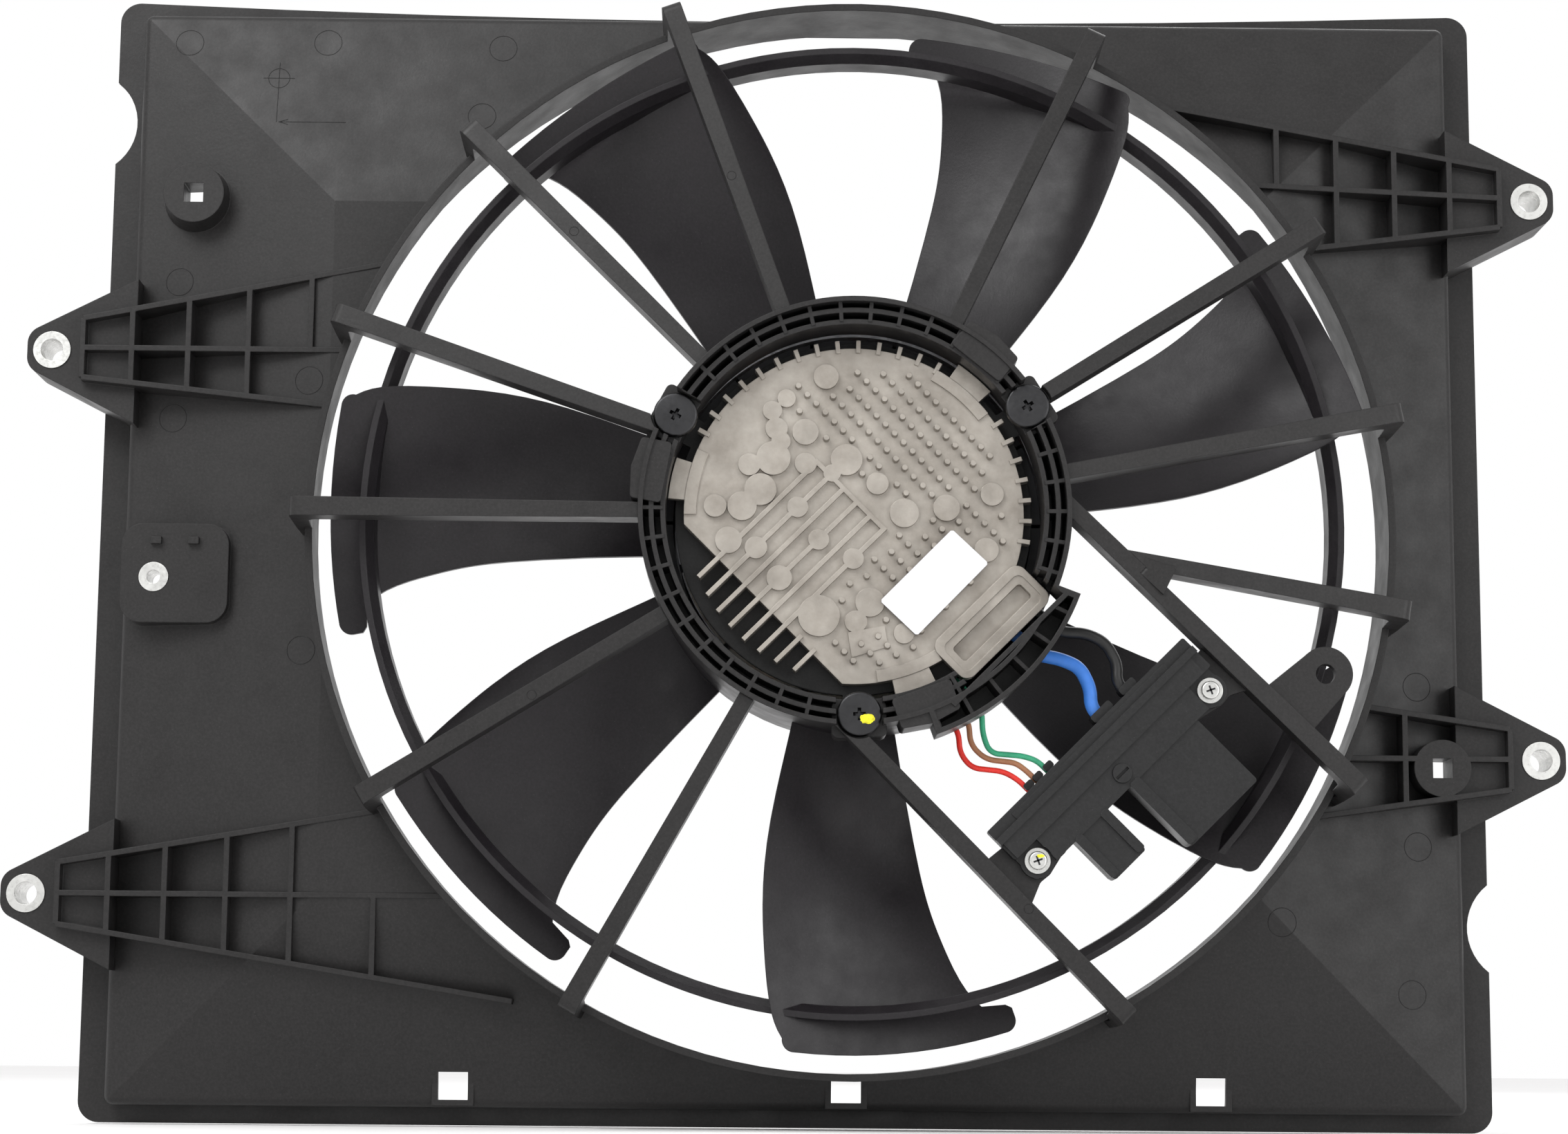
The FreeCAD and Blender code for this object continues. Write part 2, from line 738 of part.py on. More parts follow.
def junction_web():
    """The web in the corner where the ninth strut joins the eighth."""
    root, tip = strut_ends(*STRUTS[7])
    start, end = strut_ends(*STRUTS[8])
    long_way, short_way = (tip - root).normalize(), (end - start).normalize()
    turn = short_way.cross(long_way)
    corner = start + short_way * ((root - start).cross(long_way).dot(turn) / turn.dot(turn))
    web = float(size("strut_web"))
    height = float(strut_hub_height) - float(size("strut_hub_rise")) * 0.22
    corners = [corner - long_way * web * 0.6, corner + short_way * web * 1.3, corner + short_way * web * 1.7,
               corner + long_way * web * 1.7]
    return plate([across(point) for point in corners], [0, 1.0, 1.0, 0], height - 8, height - 0.6)


strut_shapes[8] = largest(largest(strut_shapes[8].fuse(junction_web())).cut(strut_shapes[7]))
for number, shape in enumerate(strut_shapes, start=1):
    node(feature("strut_%02d" % number, shape), "strut_%02d" % number)

SLANT = math.sqrt(0.5)


def slanted(p, q):
    """A place across the fan from two directions at 45 degrees: p down to the left, q down to the right."""
    return ((q - p) * SLANT, -(q + p) * SLANT)


def slanted_plate(corners, rounds, low, high):
    """A flat piece whose outline is given in the two slanted directions."""
    return plate([slanted(p, q) for p, q in corners], rounds, low, high)


def box_at(p_low, p_high, q_low, q_high, low, high, rounds=0):
    """A block along the slanted directions."""
    return slanted_plate([(p_low, q_low), (p_high, q_low), (p_high, q_high), (p_low, q_high)], rounds, low, high)


def strut_p(index, q):
    """Where a strut's centreline crosses a place down to the right of the axis."""
    root, tip = strut_ends(*STRUTS[index])
    start, end = ((-(point.x + point.z) * SLANT, (point.x - point.z) * SLANT) for point in (root, tip))
    share = (q - start[1]) / (end[1] - start[1])
    return start[0] + (end[0] - start[0]) * share


def harness_tab_shape():
    """The tab with a hole that stands out from the eighth strut."""
    q = float(barrel_radius - size("tab_inset"))
    strut_line = strut_p(7, q)
    radius = float(size("tab_radius"))
    p = strut_line - float(size("tab_reach"))
    high = float(strut_elbow_height) + 2.0
    low = high - float(size("tab_thickness"))
    corners = [(strut_line, q - radius - 2.5), (p, q - radius), (p - radius, q - radius), (p - radius, q + radius),
               (p, q + radius), (strut_line, q + radius + 1.5)]
    rounds = [0, 4, radius * 0.98, radius * 0.98, 4, 0]
    body = slanted_plate(corners, rounds, low, high)
    return largest(body.cut(Part.makeCompound([strut_shapes[7], bar(size("tab_hole_radius"), low - 1, high + 1,
                                                                    *slanted(p, q))])))


node(feature("harness_tab", harness_tab_shape()), "harness_tab")

# Mounting arms: an ear with a bush seat outside the flange, and a ribbed arm over the panel

arm_height = size("arm_height")
ear_height = size("ear_height")
rib_thickness = size("rib_thickness")


def arm_shape(arm_name):
    """One arm before it is fitted to the panel, the barrel and the struts."""
    x, z = bush_place(arm_name)
    arm = ARMS[arm_name]
    inward = -arm["side"]
    nose = float(size("ear_nose_radius"))
    reach = float(size("ear_reach"))
    half = float(size("ear_half_length"))
    base_x = x + inward * (reach + ARM_HALF_WIDTH)
    flare = half + ARM_HALF_WIDTH * (half - nose) / reach * 0.3
    blunt = nose * EAR_NOSE_SHARE
    tip = [(x - inward * nose, z - blunt), (base_x, z - flare), (base_x, z + flare), (x - inward * nose, z + blunt)]
    ear = plate(tip, [blunt, 0, 0, blunt], flange_thickness, ear_height)
    skirt = float(size("ear_skirt"))
    base_half = flare - skirt * 1.6
    inner = [(x + inward * (nose + 1), z - blunt), (base_x - inward * skirt, z - base_half),
             (base_x - inward * skirt, z + base_half), (x + inward * (nose + 1), z + blunt)]
    hollow = plate(inner, 2, flange_thickness - 1, ear_height - size("ear_plate"))
    ear = ear.cut(hollow)
    collar = bar(nose, size("bush_base"), ear_height, x, z)
    parts = [ear, collar]
    foot = float(edge_height)
    start = ARM_ROOT
    for sign, slope in zip((1, -1), arm["slopes"]):
        begin = (x + inward * start, z + sign * ARM_HALF_WIDTH)
        end = (x + inward * (start + ARM_LENGTH), z + sign * ARM_HALF_WIDTH + slope * ARM_LENGTH)
        parts.append(rib(begin, end, rib_thickness, foot, arm_height))
    middle = (x + inward * ARM_LENGTH, z + arm["lean"] * ARM_LENGTH)
    parts.append(rib((x + inward * start, z), middle, rib_thickness, foot, arm_height))

    def side_height(sign, slope, distance):
        return z + sign * ARM_HALF_WIDTH + slope * (distance - ARM_ROOT)

    for distance in (start,) + arm["ribs"]:
        place_x = x + inward * distance
        high = side_height(1, arm["slopes"][0], distance)
        low = side_height(-1, arm["slopes"][1], distance)
        parts.append(rib((place_x, low), (place_x, high), rib_thickness, foot, arm_height))
    for distance in arm["half_ribs"]:
        place_x = x + inward * abs(distance)
        rank = 0 if distance > 0 else 1
        end = side_height((1, -1)[rank], arm["slopes"][rank], abs(distance))
        parts.append(rib((place_x, z + arm["lean"] * abs(distance)), (place_x, end), rib_thickness, foot,
                         arm_height))
    return parts[0].multiFuse(parts[1:])


for name in ARMS:
    x, z = bush_place(name)
    body = arm_shape(name)
    fill = [panel_shape, barrel_shape, bar(barrel_radius + 1, 0, ring_top)]
    fill += [strut for strut in strut_shapes if strut.BoundBox.intersect(body.BoundBox)]
    fill.append(bar(size("bush_radius"), 0, ear_height * 2, x, z))
    if name == "lower_right":
        body = body.fuse(bar(size("right_boss_radius"), edge_height, boss_height, *right_boss))
        fill.append(square_hole(*right_boss, 0, boss_height + 1))
    body = largest(body.cut(Part.makeCompound(fill)))
    node(feature("mount_arm_" + name, body), "mount_arm_" + name)
    bush_radius, bush_bore = size("bush_radius"), size("bush_bore_radius")
    low, high = size("bush_base"), ear_height + size("bush_proud")
    node(turned("bush_" + name, [(bush_bore, low), (bush_radius, low), (bush_radius, high), (bush_bore, high)],
                x, z), "bush_" + name)

# Motor ring: two walls, a floor, a middle wall and radial ribs, with pads for the motor screws

ring_inner, ring_wall = ring_outer_radius - size("ring_width"), size("ring_wall")
ring_middle, ring_floor = ring_outer_radius - size("ring_middle_inset"), size("ring_floor")
channel = turned("ring_channel", [
    (ring_inner, ring_base), (ring_outer_radius, ring_base), (ring_outer_radius, ring_top),
    (ring_outer_radius - ring_wall, ring_top), (ring_outer_radius - ring_wall, ring_base + ring_floor),
    (ring_inner + ring_wall, ring_base + ring_floor), (ring_inner + ring_wall, ring_top - 3),
    (ring_inner, ring_top - 3)])
middle_wall = ring("ring_middle_wall", ring_middle - ring_wall / 2, ring_middle + ring_wall / 2,
                   ring_base, ring_top - size("ring_rib_drop"))


def ring_ribs():
    """The radial ribs between the ring's two walls."""
    first = rib((float(ring_inner) + 1, 0), (float(ring_outer_radius) - 1, 0), size("ring_rib"), ring_base + 1,
                ring_top - size("ring_rib_drop"))
    ribs = [turn_about_axis(first, 360.0 / RING_RIBS * index) for index in range(RING_RIBS)]
    return Part.makeCompound(ribs)


def screw_pads():
    """A solid pad at each motor screw, and an arched tab between the pads."""
    half = float(size("screw_pad_radius"))
    centre = float(screw_circle)
    pads = []
    for angle in SCREW_ANGLES:
        corners = [(float(ring_inner) + 0.5, -half), (centre + half - 2, -half), (centre + half - 2, half),
                   (float(ring_inner) + 0.5, half)]
        pads.append(turn_about_axis(plate(corners, 2.5, ring_base, screw_pad_height), angle))
    tab_half = float(size("tab_pad_half"))
    tab_reach = float(ring_outer_radius + size("tab_pad_reach"))
    for angle in TAB_ANGLES:
        corners = [(float(ring_inner) + 1, -tab_half), (tab_reach - 2, -tab_half), (tab_reach, 0),
                   (tab_reach - 2, tab_half), (float(ring_inner) + 1, tab_half)]
        pads.append(turn_about_axis(plate(corners, 1.5, ring_base, ring_top - 1), angle))
    return Part.makeCompound(pads)


def pad_clearances():
    """The space over each pad for the screw's head, and the screw's own hole."""
    half = float(size("screw_pad_radius"))
    centre = float(screw_circle)
    gaps = []
    for angle in SCREW_ANGLES:
        corners = [(float(ring_inner) - 2, 1.6 - half), (centre + half + 4, 1.6 - half),
                   (centre + half + 4, half - 1.6), (float(ring_inner) - 2, half - 1.6)]
        gaps.append(turn_about_axis(plate(corners, 0, screw_pad_height, ring_top + 5), angle))
        gaps.append(turn_about_axis(bar(size("screw_shank_radius"), 0, ring_top, centre), angle))
    return Part.makeCompound(gaps)


BULGE_ANGLES = (-20.5, -70.0)
PORT_SPAN = (-33.5, 16.0)


def ring_bulge():
    """The ring's wider part round the cover's port: an outer wall, a straight inner wall, a floor and ribs."""
    outer = float(ring_outer_radius + size("ring_bulge"))
    thick = float(ring_wall)
    straight = float(ring_outer_radius - size("port_pocket_gap"))
    reach = outer * 1.5

    def sector(trim):
        first, last = BULGE_ANGLES[0] - trim, BULGE_ANGLES[1] + trim
        rays = [polar(reach, first + (last - first) * share, 0) for share in (0, 0.5, 1)]
        return plate([(0, 0)] + [across(ray) for ray in rays], 0, ring_base - 1, ring_top + 1)

    body = bar(outer, ring_base, ring_top).cut(bar(ring_outer_radius - 1, ring_base - 1, ring_top + 1))
    body = body.common(sector(0))
    hollow = bar(outer - thick, ring_base + ring_floor, ring_top + 1).common(sector(1.5))
    body = body.cut(hollow.cut(bar(ring_outer_radius, ring_base, ring_top + 1)))
    inner_wall = box_at(PORT_SPAN[0] - 4, PORT_SPAN[1] + 12, straight, straight + thick, ring_base, ring_top)
    parts = [body, inner_wall.common(bar(outer - 1, ring_base, ring_top))]
    first = rib((float(ring_outer_radius) - 1, 0), (outer - 1, 0), size("ring_rib"), ring_base + 1,
                ring_top - size("ring_rib_drop"))
    parts += [turn_about_axis(first, -360.0 / RING_RIBS * index) for index in range(3, 9)]
    return parts[0].multiFuse(parts[1:])


def port_pocket():
    """The space in the ring's inner side for the cover's port."""
    straight = float(ring_outer_radius - size("port_pocket_gap"))
    return box_at(PORT_SPAN[0] - 1.5, PORT_SPAN[1] + 1.5, 30, straight, ring_base - 1, ring_top + 1)


ring_block = fuse("ring_block", [channel, middle_wall, feature("ring_ribs", ring_ribs()),
                                 feature("ring_pads", screw_pads()), feature("ring_bulge_walls", ring_bulge())])
clear_struts = feature("ring_strut_faces", Part.makeCompound(
    [shape for shape in strut_shapes if shape.distToShape(ring_shape)[0] < 1]))
motor_ring = node(cut("motor_ring", ring_block, [feature("ring_gaps", pad_clearances()), clear_struts,
                                                 feature("ring_port_pocket", port_pocket())]), "motor_ring")

# Motor screws

screw_reach = screw_pad_height - size("screw_length") + size("screw_head_height")
screw_head, screw_shank = size("screw_head_radius"), size("screw_shank_radius")


def screw_shape(head_radius, head_height, shank_radius, length, seat):
    """A pan-headed screw whose head sits on a seat, with its shank below."""
    head = bar(head_radius, seat, seat + head_height)
    head = head.makeFillet(float(head_height) * 0.45, [edge for edge in head.Edges
                                                       if abs(edge.BoundBox.YMin + float(seat + head_height)) < 0.01
                                                       and edge.BoundBox.YLength < 0.01])
    return head.fuse(bar(shank_radius, float(seat) - float(length), seat))


motor_screw = screw_shape(screw_head, size("screw_head_height"), screw_shank, size("screw_length"), screw_pad_height)
motor_screw.translate(at(screw_circle, 0, 0))
node(feature("motor_screws", Part.makeCompound([turn_about_axis(motor_screw, angle) for angle in SCREW_ANGLES])),
     "motor_screws")

# Fan: hub, mid ring and seven swept blades

base_plate = ring_base - size("base_drop")
hub_radius, hub_wall = ring_outer_radius - size("fan_hub_gap"), size("fan_hub_wall")
hub_rim = base_plate - size("fan_hub_rim_gap")
hub_face = hub_rim - size("fan_hub_depth")
fan_tip = barrel_radius - size("fan_tip_gap")
blade_near = strut_elbow_height - size("strut_elbow_depth") - size("blade_gap")
hub_round = size("fan_hub_round")
fan_hub = turned("fan_hub", [
    (size("shaft_radius") + 3, hub_face), (hub_radius - hub_round, hub_face),
    (hub_radius - hub_round * 0.3, hub_face + hub_round * 0.3), (hub_radius, hub_face + hub_round),
    (hub_radius, hub_rim), (hub_radius - hub_wall, hub_rim),
    (hub_radius - hub_wall, hub_face + hub_round), (hub_radius - hub_round, hub_face + hub_wall),
    (size("shaft_radius") + 3, hub_face + hub_wall)])
ring_radius = fan_tip - size("mid_ring_inset")
ring_lip = ring_radius + size("mid_ring_flare")
ring_rear = blade_near - size("mid_ring_drop")
ring_front = ring_rear - size("mid_ring_depth")
mid_wall = size("mid_ring_wall")
mid_ring = turned("fan_mid_ring", [
    (ring_radius, ring_front), (ring_radius + mid_wall, ring_front),
    (ring_radius + mid_wall, ring_rear - 5), (ring_lip, ring_rear - mid_wall), (ring_lip, ring_rear),
    (ring_lip - 2.5, ring_rear), (ring_radius, ring_rear - 4)])


def blade_radius(share):
    """The radius at a share of the way from the middle of the hub's wall to the blade's tip."""
    root = float(hub_radius - hub_wall / 2)
    return root + (float(fan_tip) - root) * share


def blade_face(lift):
    """The blade's curved surface, drawn wider than the blade so that its outline can be cut."""
    near = float(blade_near)
    root_drop, tip_drop = float(size("blade_root_drop")), float(size("blade_tip_drop"))
    root_thick, tip_thick = float(size("blade_root_thickness")), float(size("blade_tip_thickness"))
    stations = [BLADE_SWEEP[index] for index in BLADE_STATIONS]
    stations.insert(0, (-0.05, stations[0][1], stations[0][2]))
    stations.append((1.05, stations[-1][1] + 0.6, stations[-1][2] + 0.6))
    rows = []
    for way, rear, front in stations:
        drop = root_drop + (tip_drop - root_drop) * way
        half = (root_thick + (tip_thick - root_thick) * way) / 2
        chord = blade_radius(way) * math.radians(front - rear)
        row = []
        for step in range(-1, BLADE_STEPS + 2):
            share = step / BLADE_STEPS
            belly = float(size("blade_camber")) * chord * 4 * share * (1 - share)
            height = near - half - drop * share - belly + lift * half
            row.append(polar(blade_radius(way), rear + (front - rear) * share, height))
        rows.append(row)
    surface = Part.BSplineSurface()
    surface.interpolate(rows)
    return surface.toShape()


def corner_arc(before, corner, after):
    """The arc that rounds a square corner, from a point before it to a point after it."""
    centre = before + after - corner
    return Part.Arc(before, centre + (corner - centre).normalize() * (before - centre).Length, after).toShape()


def blade_outline():
    """The blade seen along the axis: two swept edges, a rounded tip, and a finger past the ring."""
    tip = float(fan_tip)
    soft = float(size("blade_corner_round"))
    turn = math.degrees(soft / tip)
    rear_tip, front_tip = BLADE_SWEEP[-1][1], BLADE_SWEEP[-1][2] + 0.3
    finger = float(ring_lip) + 3.0
    rear_points = [polar(blade_radius(way), rear, 0) for way, rear, front in BLADE_SWEEP[:-1]]
    rear_points.append(polar(tip - soft, rear_tip - 0.2, 0))
    front_points = [polar(blade_radius(way), front, 0) for way, rear, front in reversed(BLADE_SWEEP[:-1])]
    rear_edge, front_edge = Part.BSplineCurve(), Part.BSplineCurve()
    rear_edge.interpolate(rear_points)
    front_edge.interpolate(front_points)
    tip_start, tip_end = polar(tip, rear_tip + turn, 0), polar(tip, front_tip - turn, 0)
    finger_top, finger_low = polar(tip - soft, front_tip, 0), polar(finger + 2, front_tip, 0)
    finger_in = polar(finger, front_tip - 0.6, 0)
    edges = [rear_edge.toShape(), corner_arc(rear_points[-1], polar(tip, rear_tip, 0), tip_start),
             Part.Arc(tip_start, polar(tip, (rear_tip + front_tip) / 2, 0), tip_end).toShape(),
             corner_arc(tip_end, polar(tip, front_tip, 0), finger_top),
             Part.LineSegment(finger_top, finger_low).toShape(), Part.LineSegment(finger_low, finger_in).toShape(),
             Part.LineSegment(finger_in, front_points[0]).toShape(), front_edge.toShape(),
             Part.LineSegment(front_points[-1], rear_points[0]).toShape()]
    return Part.Wire(edges)


def blade_shape():
    """One swept blade from inside the hub's wall to the tip, its rear tip corner at angle 0."""
    reach = float(hub_rim) + 20
    blank = Part.Face(blade_outline()).extrude(UP * reach)
    upper = blade_face(1).extrude(UP * -reach)
    lower = blade_face(-1).extrude(UP * (-reach * 2))
    return blank.common(upper).cut(lower)


blade = blade_shape()
doc.recompute()
blades = [turn_about_axis(blade, angle) for angle in BLADE_ANGLES]
fan_screw_circle, fan_screw_radius = size("fan_screw_circle"), size("fan_screw_radius")


def around(shape, count):
    """Copies of a shape, evenly spaced about the axis."""
    return Part.makeCompound([turn_about_axis(shape, 360.0 / count * index) for index in range(count)])


fan_screw_holes = around(bar(fan_screw_radius, 0, hub_rim, fan_screw_circle), 3)
node(feature("fan", fan_hub.Shape.multiFuse([mid_ring.Shape] + blades).cut(fan_screw_holes)), "fan")

# Rotor cup, magnets and shaft

cup_radius, cup_wall = hub_radius - size("cup_gap"), size("cup_wall")
cup_face = hub_face + hub_wall
cup_rim = cup_face + size("cup_length")
shaft_radius = size("shaft_radius")
cup_shell = turned("cup_shell", [
    (shaft_radius, hub_face - 1), (shaft_radius + 2.8, hub_face - 1), (shaft_radius + 2.8, cup_face),
    (cup_radius - 4, cup_face), (cup_radius, cup_face + 4), (cup_radius, cup_rim),
    (cup_radius - cup_wall, cup_rim), (cup_radius - cup_wall, cup_face + 5), (cup_radius - 5, cup_face + cup_wall),
    (shaft_radius + 4, cup_face + cup_wall), (shaft_radius + 4, cup_face + cup_wall + 1.5),
    (shaft_radius, cup_face + cup_wall + 1.5)])
node(cut("rotor_cup", cup_shell, [feature("cup_screw_holes", fan_screw_holes)]), "rotor_cup")
fan_screw = bar(fan_screw_radius, hub_face, cup_face + cup_wall, fan_screw_circle).fuse(
    bar(size("fan_screw_head"), hub_face - 2, hub_face, fan_screw_circle))
node(feature("fan_screws", around(fan_screw, 3)), "fan_screws")
magnet_outer = cup_radius - cup_wall
magnet_inner = magnet_outer - size("magnet_thickness")


def magnet_shapes():
    """Curved magnets round the inside of the cup, a small gap between them."""
    low = cup_face + size("magnet_gap")
    tube = bar(magnet_outer, low, low + size("magnet_length"))
    tube = tube.cut(bar(magnet_inner, low - 1, low + size("magnet_length") + 1))
    slot = rib((float(magnet_inner) - 2, 0), (float(magnet_outer) + 2, 0), 1.5, low - 1,
               low + size("magnet_length") + 1)
    slots = [turn_about_axis(slot, 360.0 / MAGNETS * index) for index in range(MAGNETS)]
    return tube.cut(Part.makeCompound(slots))


node(feature("rotor_magnets", magnet_shapes()), "rotor_magnets")
shaft_base = hub_face - 1
front_bearing, rear_bearing = hub_face + size("front_bearing_gap"), base_plate - size("rear_bearing_drop")
bearing_radius, bearing_width = size("bearing_radius"), size("bearing_width")
shaft_tip = rear_bearing + bearing_width + 4
shaft = node(turned("shaft", [(0, shaft_base), (shaft_radius, shaft_base), (shaft_radius, shaft_tip - 1),
                              (shaft_radius - 1, shaft_tip), (0, shaft_tip)]), "shaft")

# Ball bearings

race = (bearing_radius - shaft_radius) * size("race_share")
ball_radius = (bearing_radius - shaft_radius) * size("ball_share")
pitch = (float(bearing_radius) + float(shaft_radius)) / 2


def bearing(name, base):
    """Two grooved races, with the balls and their cage between them."""
    middle = float(base + bearing_width / 2)
    groove = Part.makeTorus(pitch, float(ball_radius + size("ball_clearance")), at(0, 0, middle), UP)
    outer = bar(bearing_radius, base, base + bearing_width)
    outer = outer.cut(bar(bearing_radius - race, base - 1, base + bearing_width + 1)).cut(groove)
    inner = bar(shaft_radius + race, base, base + bearing_width)
    inner = inner.cut(bar(shaft_radius, base - 1, base + bearing_width + 1)).cut(groove)
    node(feature(name + "_outer_race", outer), name + "_outer_race")
    node(feature(name + "_inner_race", inner), name + "_inner_race")
    balls = []
    pockets = []
    for index in range(BALLS):
        centre = polar(pitch, 360.0 / BALLS * index, middle)
        balls.append(Part.makeSphere(float(ball_radius), centre))
        pockets.append(Part.makeSphere(float(ball_radius) + 0.1, centre))
    cage = bar(pitch + 0.9, middle + 0.8, middle + 4)
    cage = cage.cut(bar(pitch - 0.9, middle, middle + 5)).cut(Part.makeCompound(pockets))
    node(feature(name + "_balls", Part.makeCompound(balls + [cage])), name + "_balls")


bearing("front_bearing", front_bearing)
bearing("rear_bearing", rear_bearing)
retainer_base = rear_bearing + bearing_width
node(ring("retaining_ring", shaft_radius, shaft_radius + size("retaining_ring_width"), retainer_base,
          retainer_base + 1.2), "retaining_ring")

# Motor base: a plate with the bearing tube, and a post under each motor screw

base_thickness = size("base_plate_thickness")
base_radius = ring_inner - size("base_gap")
tube_radius = bearing_radius + size("tube_wall")
cover_radius = base_radius - size("cover_inset")
board_radius = cover_radius - size("board_inset")
tube = turned("bearing_tube", [
    (bearing_radius, front_bearing), (tube_radius, front_bearing), (tube_radius, base_plate),
    (base_radius, base_plate), (base_radius, base_plate + base_thickness), (0, base_plate + base_thickness),
    (0, base_plate + 1), (bearing_radius, base_plate + 1), (bearing_radius, rear_bearing),
    (bearing_radius - 2, rear_bearing), (bearing_radius - 2, front_bearing + bearing_width),
    (bearing_radius, front_bearing + bearing_width)])


def base_posts():
    """The lugs that the motor screws go into."""
    centre = float(screw_circle)
    posts = []
    for angle in SCREW_ANGLES:
        arm = rib((float(base_radius) - 6, 0), (centre, 0), 12, base_plate, base_plate + base_thickness)
        post = bar(5.5, base_plate, ring_base, centre)
        posts.append(turn_about_axis(arm.fuse(post), angle))
    board_low = base_plate + base_thickness
    stud = bar(4, base_plate + 1, board_low + size("board_standoff"), board_radius - 20)
    posts += [turn_about_axis(stud, angle + 60) for angle in SCREW_ANGLES]
    return Part.makeCompound(posts)


def base_holes():
    """Blind holes for the motor screws."""
    hole = bar(screw_shank, screw_pad_height - size("screw_length"), ring_top, screw_circle)
    return Part.makeCompound([turn_about_axis(hole, angle) for angle in SCREW_ANGLES])


base_block = fuse("motor_base_block", [tube, feature("motor_base_posts", base_posts())])
node(cut("motor_base", base_block, [feature("motor_base_holes", base_holes())]), "motor_base")

# Stator: laminated core with a tooth per coil, insulating end plates and windings

stator_base = hub_face + size("stator_gap")
stator_top = stator_base + size("stator_stack")
stator_radius = magnet_inner - size("air_gap")
yoke_radius, tooth_width = tube_radius + size("yoke_depth"), size("tooth_width")


def star(low, high, outline_radius, margin):
    """The stator's outline: a yoke ring and a tooth with a wider tip for each coil."""
    tip_width = 2 * math.pi * float(stator_radius) / TEETH - 4
    tooth = rib((float(tube_radius) + 2, 0), (outline_radius, 0), float(tooth_width) + 2 * margin, low, high)
    shoe = rib((outline_radius - float(size("tooth_tip")), 0), (outline_radius + 2, 0), tip_width, low, high)
    teeth = [turn_about_axis(tooth.fuse(shoe), 360.0 / TEETH * index) for index in range(TEETH)]
    body = bar(yoke_radius, low, high).multiFuse(teeth)
    body = body.common(bar(outline_radius, low, high))
    return body.cut(bar(tube_radius, float(low) - 1, float(high) + 1))


node(feature("stator_core", star(stator_base, stator_top, float(stator_radius), 0)), "stator_core")
insulation = size("insulator_thickness")
node(feature("stator_insulators", Part.makeCompound([
    star(stator_base - insulation, stator_base, float(stator_radius) - 0.5, 0),
    star(stator_top, stator_top + insulation, float(stator_radius) - 0.5, 0)])), "stator_insulators")


def windings():
    """A coil round every tooth."""
    inner_end = float(yoke_radius) + 2
    outer_end = float(stator_radius) - float(size("tooth_tip")) - 1
    half = float(tooth_width) / 2
    thick = float(size("coil_thickness"))
    over = float(size("coil_overhang"))
    low, high = float(stator_base - insulation), float(stator_top + insulation)
    window = rib((inner_end - 1, 0), (outer_end + 1, 0), 2 * half, low, high)
    coil = rib((inner_end, 0), (outer_end, 0), 2 * (half + thick), low - over, high + over)
    ends = [edge for edge in coil.Edges if edge.BoundBox.XLength > outer_end - inner_end - 0.1]
    coil = coil.makeFillet(thick * 0.8, ends).cut(window)
    return Part.makeCompound([turn_about_axis(coil, 360.0 / TEETH * index) for index in range(TEETH)])


node(feature("stator_windings", windings()), "stator_windings")

# Controller: seal, circuit board and cast cover

cover_base = base_plate + base_thickness
cover_top = cover_base + size("cover_rise")
cover_wall = size("cover_wall")
seal_thickness, seal_width = size("seal_thickness"), size("seal_width")
cover_chord = float(cover_radius - size("cover_chord"))
board_base = cover_base + size("board_standoff")
FIN_RIBS = 6
FIN_FIELD = (-4.5, 38.0)
ISLANDS = (
    (-11.7, 57.1, 5.2), (-27.8, 47.9, 3.8), (-33.6, 42.8, 4.0), (-31.8, 35.3, 4.6), (-20.0, 34.0, 5.4),
    (-33.0, 23.0, 7.0), (-42.8, 20.3, 4.6), (-38.2, 10.0, 6.6), (-45.6, 3.1, 6.0), (-3.1, 22.6, 6.5),
    (-19.8, 20.9, 4.5), (9.5, 12.9, 4.6), (20.5, 0.8, 6.0), (37.7, 3.1, 5.5), (56.3, 8.9, 4.8),
    (54.0, -14.1, 5.0), (-14.0, -41.7, 8.5), (6.7, -36.0, 6.0), (-56.6, 3.1, 4.7), (-51.0, -11.0, 5.5),
    (20.5, -48.6, 4.2), (-30.0, 30.0, 4.0), (-9.0, 17.0, 3.6), (1.0, -44.0, 4.6))
RIB_BOSSES = ((14.2, 1, 4.3), (17.5, 3, 4.3), (13.0, 5, 4.3), (38.0, 1, 4.6), (40.0, 3, 5.2))


def cover_profile(inset, low, high):
    """The cover's outline: a disc cut off straight at the lower left, moved in by an inset."""
    disc = bar(cover_radius - inset, low, high)
    return disc.cut(box_at(cover_chord - inset, 200, -100, 100, float(low) - 1, float(high) + 1))


def arc_band(inner, outer, centre_angle, half_angle, low, high):
    """A piece of a ring about the fan's axis."""
    rays = [polar(float(outer) * 1.5, centre_angle + turn, 0) for turn in (-half_angle, 0, half_angle)]
    wedge = plate([(0, 0)] + [across(ray) for ray in rays], 0, low, high)
    return wedge.common(bar(outer, low, high)).cut(bar(inner, low, high))


def fin_line(index):
    """How far down to the right a parallel fin lies."""
    return -26.0 + float(size("fin_pitch")) * index


